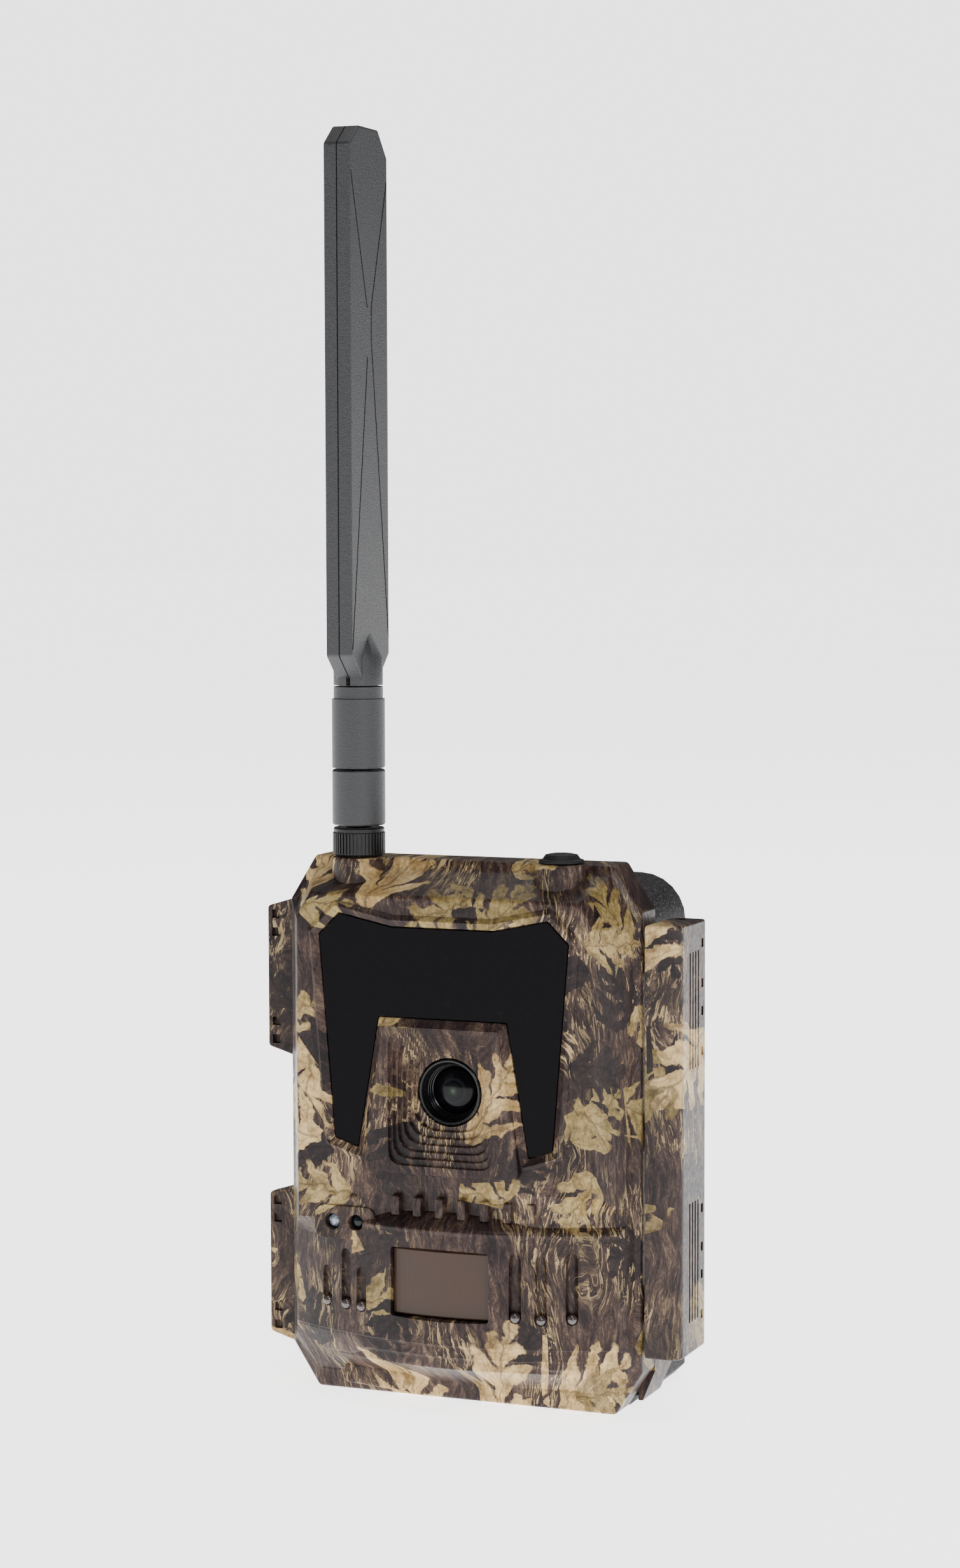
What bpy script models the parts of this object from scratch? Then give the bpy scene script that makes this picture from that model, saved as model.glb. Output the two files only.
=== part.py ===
"""Trail camera: a clamshell field camera with a folding antenna.

Frame: +Z up, -Y is the front. The origin is on the flat underside of the rear case.
All numbers below are millimetres; MM turns them into Blender's metres.
"""
import math

import bmesh
import bpy
from mathutils import Matrix, Vector

MM = 0.001

# ---- driving dimensions -------------------------------------------------------------
BODY_HEIGHT = 148.0          # front cover, bottom edge to top edge
COVER_LIFT = 0.4             # the cover hangs this far above the surface the case stands on
COVER_HALF = 51.0            # half width of the cover at its rim
COVER_TOP_HALF = 43.4        # half width of the flat top, between the corner chamfers
TOP_CHAMFER = 12.2           # height of the two upper corner chamfers
LOW_CHAMFER = 11.8           # height of the two lower corner chamfers
SPLIT_Y = -19.9              # parting plane between cover and case
CLEAR = 0.3                  # gap kept between touching pieces
COVER_BACK = SPLIT_Y - 0.2
RIM_FRONT = SPLIT_Y - 10.5   # front edge of the cover's side wall
LIP_Y = SPLIT_Y - 12.1       # inner bevel line in front of the rim
FACE_Y = SPLIT_Y - 25.5      # front plane that carries the infrared window
WALL = 2.4

LIP_HALF = 49.4
LIP_TOP = 145.2
LIP_BOTTOM = 6.0
FACE_HALF = 42.5
FACE_TOP = 139.2
FACE_BOTTOM = 17.0
FACE_TOP_HALF = 38.3
BELLY_FRONT = FACE_Y - 4.0   # the lower front bulges, curved from side to side
BELLY_RADIUS = 90.0
BELLY_LOW, BELLY_HIGH = 19.6, 51.2

CASE_HALF = 46.0             # rear case
CASE_TOP = 141.0
CASE_FRONT = SPLIT_Y + 0.2
CASE_BACK = 23.0
CASE_CORNER = 13.0
RAIL_BACK = CASE_FRONT + 14.7
RAIL_TOP = 128.0
BRACKET_DEPTH = 7.2
STRAP_DEPTH, STRAP_WIDTH = 4.6, 26.0

HINGE_X = -55.9              # door hinge axis
HINGE_Y = SPLIT_Y + 0.05
TAB_OUT = -59.5
TAB_SPANS = ((91.0, 136.0), (10.8, 56.0))
TAB_FRONT = SPLIT_Y - 7.6
TAB_BACK = SPLIT_Y - 3.9
BARREL_R = 3.4
PIN_R = 1.2

LATCH_X = 56.0               # latch hinge axis
LATCH_Y = SPLIT_Y + 6.4
LATCH_IN, LATCH_OUT = 51.8, 61.7
LATCH_LOW, LATCH_HIGH = 16.6, 132.4
LATCH_FRONT = RIM_FRONT - 0.2
LATCH_BACK = SPLIT_Y + 9.9
LATCH_WALL = 2.2

BOSS_X = 29.3                # antenna boss at -BOSS_X, plugged boss at +BOSS_X
BOSS_Y = LIP_Y - 1.0
BOSS_R = 7.3
BOSS_TOP = 148.3

LENS_Z = 86.4
LENS_R = 9.0
LENS_RING_Y = FACE_Y + 6.0

PIR_HALF, PIR_LOW, PIR_HIGH = 14.0, 26.6, 45.2

CELL_R, CELL_LENGTH = 7.1, 49.2
CELL_PITCH = 15.2
CELL_Y = -9.0
ROW_STARTS = (14.5, 73.0)
ROW_LENGTH = 55.0

KEY_R = 3.0
KEY_STEP = 11.0              # spacing of the five round keys
KEY_Z = 57.0
MENU_X = -24.0
SCREEN_HALF, SCREEN_LOW, SCREEN_HIGH = 25.0, 83.0, 121.0
EYES_X, EYE_Z = (-32.0, -25.2), 50.3   # status window and light sensor window
STRAP_LOWS = (28.0, 92.0)    # lower edges of the two strap ways
BRACKET_SCREW_X, BRACKET_SCREW_Z = 22.0, 73.0
PORT_Y = 14.0                # tripod insert and power jack, in the underside
JACK_X = -26.0
PANEL_FRONT = SPLIT_Y - 3.6
PANEL_BACK = SPLIT_Y - 1.9

ANTENNA_R = 7.2
NUT_Z = (148.6, 156.2)
BASE_Z = (156.9, 171.9)
YOKE_Z = (172.4, 191.0)
FOLD_Z = 180.0
PADDLE_LOW, PADDLE_HIGH = 193.4, 343.2
PADDLE_WIDE, PADDLE_THICK = 24.6, 7.6


# ---- scene and materials ------------------------------------------------------------
for old in list(bpy.data.objects):
    bpy.data.objects.remove(old, do_unlink=True)


def collection(name):
    made = bpy.data.collections.new(name)
    bpy.context.scene.collection.children.link(made)
    return made


PARTS = collection("trail_camera")
CUTTERS = collection("cutters")


def material(name, colour, roughness, metallic=0.0):
    made = bpy.data.materials.new(name)
    made.use_nodes = True
    shader = made.node_tree.nodes["Principled BSDF"]
    shader.inputs["Base Color"].default_value = (*colour, 1.0)
    shader.inputs["Roughness"].default_value = roughness
    shader.inputs["Metallic"].default_value = metallic
    return made


CAMO = material("camo_shell", (0.16, 0.12, 0.09), 0.45)
GREY = material("speckled_case", (0.13, 0.13, 0.14), 0.6)
BLACK = material("black_plastic", (0.02, 0.02, 0.022), 0.4)
GLOSS = material("infrared_window", (0.006, 0.005, 0.008), 0.12)
BROWN = material("pir_lens", (0.16, 0.09, 0.06), 0.35)
GLASS = material("lens_glass", (0.01, 0.012, 0.02), 0.03)
CLEAR_WINDOW = material("clear_window", (0.35, 0.42, 0.5), 0.1)
CHARCOAL = material("antenna_plastic", (0.03, 0.032, 0.035), 0.55)
RUBBER = material("rubber", (0.012, 0.012, 0.013), 0.75)
STEEL = material("steel", (0.6, 0.6, 0.6), 0.3, 1.0)
BRASS = material("brass", (0.7, 0.5, 0.2), 0.3, 1.0)
BOARD = material("circuit_board", (0.02, 0.12, 0.05), 0.4)
SCREEN = material("screen", (0.02, 0.03, 0.04), 0.15)
KEYS = material("keys", (0.3, 0.3, 0.31), 0.6)
CELL = material("cell_wrap", (0.35, 0.12, 0.03), 0.35)


# ---- making pieces ------------------------------------------------------------------
def finish(name, mesh_builder, look, group=PARTS, smooth_angle=35.0):
    mesh = bpy.data.meshes.new(name)
    bmesh.ops.recalc_face_normals(mesh_builder, faces=mesh_builder.faces)
    mesh_builder.to_mesh(mesh)
    mesh_builder.free()
    made = bpy.data.objects.new(name, mesh)
    group.objects.link(made)
    if look:
        mesh.materials.append(look)
    mesh.shade_smooth()
    mesh.set_sharp_from_angle(angle=math.radians(smooth_angle))
    if group is CUTTERS:
        made.hide_render = True
        made.display_type = "WIRE"
    return made


def block(name, low, high, look=None, group=PARTS, bevel=0.0):
    low, high = Vector(low) * MM, Vector(high) * MM
    builder = bmesh.new()
    bmesh.ops.create_cube(builder, size=1.0)
    size = high - low
    bmesh.ops.scale(builder, vec=size, verts=builder.verts)
    bmesh.ops.translate(builder, vec=(low + high) / 2, verts=builder.verts)
    made = finish(name, builder, look, group)
    if bevel:
        add_bevel(made, bevel)
    return made


def add_bevel(piece, width, segments=1, angle=40.0):
    bevel = piece.modifiers.new("edges", "BEVEL")
    bevel.width = width * MM
    bevel.segments = segments
    bevel.limit_method = "ANGLE"
    bevel.angle_limit = math.radians(angle)


AXES = {
    "X": Matrix(((0, 0, 1), (1, 0, 0), (0, 1, 0))),
    "Y": Matrix(((0, 1, 0), (0, 0, 1), (1, 0, 0))),
    "Z": Matrix.Identity(3),
}


def rod(name, centre, radius, length, axis="Z", look=None, group=PARTS, sides=24, radius_far=None):
    """A cylinder or cone centred on a point, its length along an axis."""
    builder = bmesh.new()
    far = radius if radius_far is None else radius_far
    bmesh.ops.create_cone(builder, cap_ends=True, segments=sides, radius1=radius * MM,
                          radius2=far * MM, depth=length * MM)
    builder.transform(AXES[axis].to_4x4())
    bmesh.ops.translate(builder, vec=Vector(centre) * MM, verts=builder.verts)
    return finish(name, builder, look, group)


def prism(name, outline, start, end, axis="Y", look=None, group=PARTS, end_outline=None):
    """Extrude an outline along an axis; end_outline gives the far face its own shape.

    The outline's two numbers are (x, z) for Y, (x, y) for Z and (y, z) for X.
    """
    place = {
        "Y": lambda a, b, depth: (a, depth, b),
        "Z": lambda a, b, depth: (a, b, depth),
        "X": lambda a, b, depth: (depth, a, b),
    }[axis]
    builder = bmesh.new()
    near = [builder.verts.new(Vector(place(a, b, start)) * MM) for a, b in outline]
    builder.faces.new(near)
    grown = bmesh.ops.extrude_face_region(builder, geom=list(builder.faces))
    moved = [item for item in grown["geom"] if isinstance(item, bmesh.types.BMVert)]
    far = end_outline or outline
    for vert in moved:
        index = min(range(len(near)), key=lambda i: (near[i].co - vert.co).length)
        vert.co = Vector(place(*far[index], end)) * MM
    return finish(name, builder, look, group)


def chamfered(half, top_half, low_half, low, high, top_cut, low_cut):
    """An eight-sided outline, symmetric about x = 0."""
    right = [(low_half, low), (half, low + low_cut), (half, high - top_cut), (top_half, high)]
    return right + [(-x, z) for x, z in reversed(right)]


def arc(centre, radius, start, end, steps):
    points = []
    for step in range(steps + 1):
        angle = math.radians(start + (end - start) * step / steps)
        points.append((centre[0] + radius * math.cos(angle), centre[1] + radius * math.sin(angle)))
    return points


def rounded_box_outline(x0, x1, z0, z1, radius, steps=4):
    corners = (((x1 - radius, z0 + radius), -90), ((x1 - radius, z1 - radius), 0),
               ((x0 + radius, z1 - radius), 90), ((x0 + radius, z0 + radius), 180))
    return [p for centre, start in corners for p in arc(centre, radius, start, start + 90, steps)]


def combine(piece, tool, operation):
    step = piece.modifiers.new(tool.name, "BOOLEAN")
    step.operation = operation
    step.object = tool
    step.solver = "EXACT"
    return piece


def cut(piece, *tools):
    for tool in tools:
        combine(piece, tool, "DIFFERENCE")


def join(piece, *tools):
    for tool in tools:
        combine(piece, tool, "UNION")


def cutter(kind, name, *args, **options):
    return kind(name, *args, group=CUTTERS, **options)


# ---- front cover: shell, infrared window, sensor windows ----------------------------
def window_outline(grow=0.0):
    """The M-shaped infrared window, whose notch takes the lens bezel."""
    right = [(18.5 - grow, 106.8 - grow), (24.6 - grow, 71.2 - grow), (31.2 + grow, 73.4 - grow),
             (35.7 + grow, 128.2), (29.9, 134.0 + grow), (14.6, 130.8 + grow)]
    return right + [(-x, z) for x, z in reversed(right)]


def belly_outline():
    """Plan of the bulging lower front, closed inside the cover."""
    half = 43.0
    reach = math.degrees(math.asin(half / BELLY_RADIUS))
    front = arc((0.0, BELLY_FRONT + BELLY_RADIUS), BELLY_RADIUS, -90 - reach, -90 + reach, 24)
    return front + [(half, LIP_Y - 1.0), (-half, LIP_Y - 1.0)]


def build_front_cover():
    rim = chamfered(COVER_HALF, COVER_TOP_HALF, COVER_TOP_HALF, COVER_LIFT, BODY_HEIGHT,
                    TOP_CHAMFER, LOW_CHAMFER)
    lip = chamfered(LIP_HALF, COVER_TOP_HALF - 0.9, COVER_TOP_HALF - 1.4, LIP_BOTTOM, LIP_TOP,
                    12.0, 8.0)
    face = chamfered(FACE_HALF, FACE_TOP_HALF, FACE_TOP_HALF, FACE_BOTTOM, FACE_TOP, 6.9, 6.0)
    cover = prism("front_cover", rim, COVER_BACK, RIM_FRONT, look=CAMO)
    bevel = cutter(prism, "cover_bevel", rim, RIM_FRONT + 0.01, LIP_Y, end_outline=lip)
    brow = cutter(prism, "cover_face", lip, LIP_Y + 0.01, FACE_Y, end_outline=face)
    join(cover, bevel, brow)
    join(cover, cutter(prism, "cover_belly", belly_outline(), BELLY_LOW, BELLY_HIGH, axis="Z"))
    for side, name in ((-1, "antenna_boss"), (1, "plug_boss")):
        low = 128.0
        join(cover, cutter(rod, name, (side * BOSS_X, BOSS_Y, (low + BOSS_TOP) / 2), BOSS_R,
                           BOSS_TOP - low, sides=32))
    for number, (low, high) in enumerate(TAB_SPANS):
        tab = [(TAB_OUT, low + 3.0), (-COVER_HALF + 1.0, low), (-COVER_HALF + 1.0, high),
               (TAB_OUT, high - 3.0)]
        join(cover, cutter(prism, f"tab_{number}", tab, TAB_FRONT, TAB_BACK))
        for end, start in enumerate((low + 4.0, high - 14.0)):
            centre = (HINGE_X, HINGE_Y, start + 5.0)
            join(cover, cutter(rod, f"barrel_{number}_{end}", centre, BARREL_R, 10.0, sides=20))
            web = cutter(block, f"barrel_web_{number}_{end}",
                         (HINGE_X - BARREL_R + 0.05, TAB_BACK - 0.5, start),
                         (HINGE_X + BARREL_R - 0.05, HINGE_Y, start + 10.0))
            join(cover, web)
    inner_rim = chamfered(COVER_HALF - WALL, COVER_TOP_HALF - 1.4, COVER_TOP_HALF - 1.4,
                          COVER_LIFT + WALL, 139.5, TOP_CHAMFER, LOW_CHAMFER)
    inner_lip = chamfered(LIP_HALF - WALL, COVER_TOP_HALF - 2.4, COVER_TOP_HALF - 3.0,
                          LIP_BOTTOM + WALL + 1.0, 139.5, 11.0, 8.0)
    inner_face = chamfered(FACE_HALF - 2.0, FACE_TOP_HALF - 2.0, FACE_TOP_HALF - 2.0,
                           FACE_BOTTOM + 3.0, FACE_TOP - 4.0, 6.9, 6.0)
    hollow = cutter(prism, "cover_hollow", inner_rim, COVER_BACK + 1.0, RIM_FRONT + 1.0)
    join(hollow, cutter(prism, "cover_lip_hollow", inner_rim, RIM_FRONT + 1.01, LIP_Y + 1.0,
                        end_outline=inner_lip))
    join(hollow, cutter(prism, "cover_deep_hollow", inner_lip, LIP_Y + 1.01,
                        FACE_Y + WALL + 0.6, end_outline=inner_face))
    tower = cutter(prism, "lens_tower", rounded_box_outline(-17.2, 17.2, 65.5, 105.6, 4.0),
                   FACE_Y + 1.0, LENS_RING_Y + 2.4)
    window_seat = cutter(prism, "window_seat", window_outline(0.3), FACE_Y - 1.0, FACE_Y + 1.5)
    window_hole = cutter(prism, "window_hole", window_outline(-1.6), FACE_Y, LIP_Y + 3.0)
    lens_hole = cutter(rod, "lens_hole", (0, FACE_Y + 4.0, LENS_Z), LENS_R + CLEAR, 20.0, "Y",
                       sides=40)
    terrace = cutter(prism, "lens_terrace",
                     rounded_box_outline(-15.0, 15.0, 67.6, 103.0, 4.0), FACE_Y - 0.5,
                     LENS_RING_Y - 1.2,
                     end_outline=rounded_box_outline(-10.6, 10.6, 74.6, 97.6, 3.4))
    pir = cutter(prism, "pir_hole",
                 rounded_box_outline(-PIR_HALF, PIR_HALF, PIR_LOW, PIR_HIGH, 1.0, 2),
                 BELLY_FRONT - 1.0, LIP_Y + 2.0)
    cut(cover, hollow)
    join(cover, tower)
    cut(cover, window_seat, window_hole, terrace, lens_hole, pir)
    for name, x in zip(("status_hole", "light_hole"), EYES_X):
        cut(cover, cutter(rod, name, (x, FACE_Y + 1.0, EYE_Z), 2.1, 12.0, "Y", sides=20))
    for side, name in ((-1, "connector_bore"), (1, "plug_bore")):
        cut(cover, cutter(rod, name, (side * BOSS_X, BOSS_Y, 142.0), 3.6, 20.0, sides=24))
    for number, (low, high) in enumerate(TAB_SPANS):
        centre = (HINGE_X, HINGE_Y, (low + high) / 2)
        cut(cover, cutter(rod, f"door_pin_bore_{number}", centre, PIN_R + CLEAR, high - low - 5.0,
                          sides=16))
        for index, z in enumerate((low + 5.0, low + 10.0, high - 10.2, high - 5.2)):
            cut(cover, cutter(block, f"tab_pocket_{number}_{index}",
                              (-58.2, TAB_FRONT - 1.0, z - 1.2), (-55.9, TAB_FRONT + 1.2, z + 1.2)))


def build_front_windows():
    prism("infrared_window", window_outline(), FACE_Y + 0.2, FACE_Y + 1.2, look=GLOSS)
    outline = rounded_box_outline(-PIR_HALF + CLEAR, PIR_HALF - CLEAR, PIR_LOW + CLEAR,
                                  PIR_HIGH - CLEAR, 0.8, 2)
    prism("pir_window", outline, BELLY_FRONT + 2.4, BELLY_FRONT + 3.6, look=BROWN)
    rod("status_window", (EYES_X[0], FACE_Y + 1.6, EYE_Z), 1.8, 1.6, "Y", CLEAR_WINDOW, sides=20)
    rod("light_sensor_window", (EYES_X[1], FACE_Y + 1.6, EYE_Z), 1.8, 1.6, "Y", SCREEN, sides=20)
    rod("pir_sensor", (0, FACE_Y + 13.2, 36.0), 4.6, 4.0, "Y", STEEL, sides=24)


def lens_profile():
    """Half section of the lens barrel, from its front rim back to its seat."""
    return ((LENS_R, -1.0), (LENS_R, 9.0), (5.0, 9.0), (5.0, 5.6), (6.0, 3.0), (7.6, 0.4),
            (8.2, -1.0))


def turned(name, profile, centre, look, sides=36):
    """Turn a closed half section about an axis along Y through the centre."""
    builder = bmesh.new()
    ring = [builder.verts.new((r * MM, y * MM, 0.0)) for r, y in profile]
    edges = [builder.edges.new((ring[i], ring[(i + 1) % len(ring)])) for i in range(len(ring))]
    bmesh.ops.spin(builder, geom=ring + edges, cent=(0, 0, 0), axis=(0, 1, 0),
                   angle=math.tau, steps=sides, use_merge=True)
    bmesh.ops.remove_doubles(builder, verts=builder.verts, dist=1e-6)
    bmesh.ops.translate(builder, vec=Vector(centre) * MM, verts=builder.verts)
    return finish(name, builder, look)


def build_lens():
    turned("lens_barrel", lens_profile(), (0, LENS_RING_Y, LENS_Z), BLACK)
    rod("lens_glass", (0, LENS_RING_Y + 6.6, LENS_Z), 4.6, 1.6, "Y", GLASS, sides=28)
    block("image_sensor", (-8, LENS_RING_Y + 9.3, LENS_Z - 8),
          (8, LENS_RING_Y + 12.2, LENS_Z + 8), BLACK, bevel=0.5)


def build_door_inside():
    board_y = FACE_Y + 18.6
    board = chamfered(46.0, 40.0, 40.0, 8.0, 136.0, 9.0, 9.0)
    prism("main_board", board, board_y, board_y + 1.6, look=BOARD)
    led_y = FACE_Y + 6.5
    led_board = prism("infrared_led_board", window_outline(-2.2), led_y, led_y + 1.2, look=BOARD)
    columns = (-30.0, -22.5, -15.0, -7.5, 0.0, 7.5, 15.0, 22.5, 30.0)
    for row, z in enumerate((112.5, 119.5, 126.0)):
        for column, x in enumerate(columns):
            if row < 2 or 3 < column + 1 < 7 or abs(x) > 14:
                led = cutter(rod, f"led_{row}_{column}", (x, led_y - 1.1, z), 2.1, 2.4, "Y", sides=8)
                join(led_board, led)
    panel_outline = chamfered(COVER_HALF - WALL - CLEAR, COVER_TOP_HALF - 1.7,
                              COVER_TOP_HALF - 1.7, COVER_LIFT + WALL + CLEAR, 139.2,
                              TOP_CHAMFER, LOW_CHAMFER)
    panel = prism("inner_panel", panel_outline, PANEL_FRONT, PANEL_BACK, look=BLACK)
    opening = SCREEN_HALF + CLEAR
    cut(panel, cutter(block, "screen_opening", (-opening, PANEL_FRONT - 1, SCREEN_LOW - CLEAR),
                      (opening, PANEL_BACK + 1, SCREEN_HIGH + CLEAR)))
    block("screen", (-SCREEN_HALF, PANEL_FRONT - 1.4, SCREEN_LOW),
          (SCREEN_HALF, PANEL_BACK - 0.5, SCREEN_HIGH), SCREEN, bevel=0.4)
    for name, x, z in key_places():
        cut(panel, cutter(rod, f"{name}_opening", (x, PANEL_BACK, z), KEY_R + CLEAR, 6.0, "Y",
                          sides=24))
        key = rod(name, (x, PANEL_BACK - 0.55, z), KEY_R, 3.9, "Y", KEYS, sides=24)
        add_bevel(key, 0.4)
    cut(panel, cutter(block, "switch_opening", (22.0, PANEL_FRONT - 1, 30.0),
                      (34.0, PANEL_BACK + 1, 35.0)))
    block("power_switch", (22.4, PANEL_FRONT - 1.2, 30.4), (26.9, PANEL_BACK + 1.2, 34.6),
          KEYS, bevel=0.4)
    cut(panel, cutter(block, "card_opening", (-34.3, PANEL_FRONT - 1, 29.7),
                      (-9.7, PANEL_BACK + 1, 32.7)))
    block("memory_card", (-34.0, PANEL_FRONT - 1.3, 30.1), (-10.0, PANEL_BACK + 0.5, 32.3), BLACK)


def key_places():
    return (("key_ok", 0.0, KEY_Z), ("key_up", 0.0, KEY_Z + KEY_STEP),
            ("key_down", 0.0, KEY_Z - KEY_STEP), ("key_left", -KEY_STEP, KEY_Z),
            ("key_right", KEY_STEP, KEY_Z), ("key_menu", MENU_X, KEY_Z))


# ---- rear case ----------------------------------------------------------------------
def case_outline(inset):
    half, radius = CASE_HALF - inset, CASE_CORNER - inset
    right = [(half - 3.0, inset), (half, inset + 3.0)]
    right += arc((half - radius, CASE_TOP - inset - radius), radius, 0, 90, 6)
    return right + [(-x, z) for x, z in reversed(right)]


def build_case():
    case = prism("rear_case", case_outline(0), CASE_FRONT, CASE_BACK, look=GREY)
    add_bevel(case, 2.5, 2, 60.0)
    hollow = cutter(prism, "case_hollow", case_outline(WALL), CASE_FRONT - 1, CASE_BACK - WALL)
    tripod = cutter(rod, "tripod_bore", (0, PORT_Y, 3.0), 4.8, 8.0, sides=24)
    jack = cutter(rod, "jack_bore", (JACK_X, PORT_Y, 3.0), 4.8, 8.0, sides=24)
    cut(case, hollow, tripod, jack)
    ring = prism("case_seal", case_outline(WALL + CLEAR), CASE_FRONT + 0.3, CASE_FRONT + 3.0,
                 look=RUBBER)
    cut(ring, cutter(prism, "seal_hole", case_outline(WALL + 2.4), CASE_FRONT - 1,
                     CASE_FRONT + 4.0))
    insert = rod("tripod_insert", (0, PORT_Y, 5.0), 4.5, 9.4, look=BRASS, sides=24)
    cut(insert, cutter(rod, "tripod_thread", (0, PORT_Y, 3.0), 3.1, 9.0, sides=20))
    jack_body = rod("power_jack", (JACK_X, PORT_Y, 5.0), 4.5, 9.4, look=BLACK, sides=24)
    cut(jack_body, cutter(rod, "jack_hole", (JACK_X, PORT_Y, 3.0), 2.9, 9.0, sides=20))


def build_bracket():
    front = CASE_BACK + CLEAR
    outline = rounded_box_outline(-31.0, 31.0, 20.0, 126.0, 6.0, 4)
    bracket = prism("strap_bracket", outline, front, front + BRACKET_DEPTH, look=GREY)
    for name, low in zip(("lower_strap_way", "upper_strap_way"), STRAP_LOWS):
        cut(bracket, cutter(block, name, (-40, front - 1, low),
                            (40, front + STRAP_DEPTH, low + STRAP_WIDTH)))
    z = BRACKET_SCREW_Z
    for index, x in enumerate((-BRACKET_SCREW_X, BRACKET_SCREW_X)):
        depth = front + BRACKET_DEPTH - 2.6
        cut(bracket, cutter(rod, f"bracket_bore_{index}", (x, depth + 1.3, z), 3.0, 3.4, "Y",
                            sides=20))
        screw = rod(f"bracket_screw_{index + 1}", (x, depth + 1.0, z), 2.6, 1.8, "Y", STEEL,
                    sides=20)
        cut(screw, cutter(block, f"screw_slot_{index}", (x - 3, depth + 1.3, z - 0.4),
                          (x + 3, depth + 3.0, z + 0.4)))


def build_rails():
    for side, name in ((-1, "hinge_rail"), (1, "latch_rail")):
        inner, outer = CASE_HALF + CLEAR, COVER_HALF
        outline = [(side * inner, 2.2), (side * (inner + 1.2), 2.2), (side * outer, 10.5),
                   (side * outer, RAIL_TOP - 4.0), (side * (outer - 3.0), RAIL_TOP),
                   (side * inner, RAIL_TOP)]
        rail = prism(name, outline, CASE_FRONT, RAIL_BACK, look=CAMO)
        if side < 0:
            for number, (low, high) in enumerate(TAB_SPANS):
                start, end = low + 14.4, high - 14.4
                middle = (start + end) / 2
                join(rail, cutter(rod, f"case_barrel_{number}", (HINGE_X, HINGE_Y, middle),
                                  BARREL_R, end - start, sides=20))
                join(rail, cutter(block, f"case_web_{number}",
                                  (HINGE_X, HINGE_Y + 0.5, start),
                                  (-COVER_HALF + 1.0, HINGE_Y + BARREL_R - 0.05, end)))
                cut(rail, cutter(rod, f"case_pin_bore_{number}", (HINGE_X, HINGE_Y, middle),
                                 PIN_R + CLEAR, end - start + 4.0, sides=16))
        else:
            for number, low in enumerate((22.0, 69.5, 117.0)):
                join(rail, cutter(rod, f"latch_lug_{number}", (LATCH_X, LATCH_Y, low + 5), 2.7,
                                  10.0, sides=20))
                join(rail, cutter(block, f"latch_lug_web_{number}",
                                  (COVER_HALF - 1.0, LATCH_Y - 2.3, low),
                                  (LATCH_X, LATCH_Y + 2.2, low + 10.0)))
                cut(rail, cutter(rod, f"latch_lug_bore_{number}", (LATCH_X, LATCH_Y, low + 5),
                                 PIN_R + CLEAR, 14.0, sides=16))


def build_pins():
    for name, (low, high) in zip(("hinge_pin_upper", "hinge_pin_lower"), TAB_SPANS):
        rod(name, (HINGE_X, HINGE_Y, (low + high) / 2), PIN_R, high - low - 8.4, look=STEEL,
            sides=16)
    rod("latch_pin", (LATCH_X, LATCH_Y, (LATCH_LOW + LATCH_HIGH) / 2), PIN_R,
        LATCH_HIGH - LATCH_LOW - 0.8, look=STEEL, sides=16)


def build_latch():
    back_arc = arc((LATCH_X, LATCH_Y), 3.9, 100, 180, 5)
    outline = [(LATCH_IN, LATCH_FRONT), (LATCH_OUT - 1.2, LATCH_FRONT),
               (LATCH_OUT, LATCH_FRONT + 1.6), (LATCH_OUT, LATCH_BACK)]
    latch = prism("latch_cover", outline + back_arc, LATCH_LOW, LATCH_HIGH, axis="Z", look=CAMO)
    inside = cutter(prism, "latch_hollow",
                    [(LATCH_IN - 3.0, LATCH_FRONT + LATCH_WALL),
                     (LATCH_OUT - LATCH_WALL, LATCH_FRONT + LATCH_WALL),
                     (LATCH_OUT - LATCH_WALL, LATCH_BACK + 3.0), (LATCH_IN - 3.0, LATCH_BACK + 3.0)],
                    LATCH_LOW + LATCH_WALL, LATCH_HIGH - LATCH_WALL, axis="Z")
    bore = cutter(rod, "latch_pin_bore", (LATCH_X, LATCH_Y, 74.5), PIN_R + CLEAR, 130.0, sides=16)
    cut(latch, inside, bore)
    for group, (low, high) in enumerate(((25.2, 57.4), (93.4, 124.6))):
        for index in range(4):
            y = LATCH_FRONT + 7.6 + 2.3 * index
            cut(latch, cutter(block, f"latch_slot_{group}_{index}", (LATCH_OUT - 4, y, low),
                              (LATCH_OUT + 1, y + 1.0, high)))
    for index, z in enumerate((25.6, 36.5, 44.0, 54.5, 97.1, 107.9, 115.4, 126.2)):
        y = LATCH_FRONT + 17.6
        cut(latch, cutter(block, f"latch_eye_{index}", (LATCH_OUT - 4, y, z - 1.2),
                          (LATCH_OUT + 1, y + 1.6, z + 1.2)))


# ---- batteries ----------------------------------------------------------------------
def build_batteries():
    half = 2 * CELL_PITCH + 2.0
    tray = block("battery_tray", (-half, CELL_Y + 0.2, 11.5), (half, 18.0, 131.0), BLACK)
    cut(tray, cutter(block, "tray_back_hollow", (-half + 2, CELL_Y + 10.0, 13.5),
                     (half - 2, 19.0, 129.0)))
    number = 1
    for start in ROW_STARTS:
        for column in range(4):
            x = (column - 1.5) * CELL_PITCH
            up = column % 2 == 0
            middle = start + ROW_LENGTH / 2
            cut(tray, cutter(rod, f"trough_{number}", (x, CELL_Y, middle), CELL_R + 0.35,
                             ROW_LENGTH, sides=24))
            build_cell(number, x, start, up)
            number += 1


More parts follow.
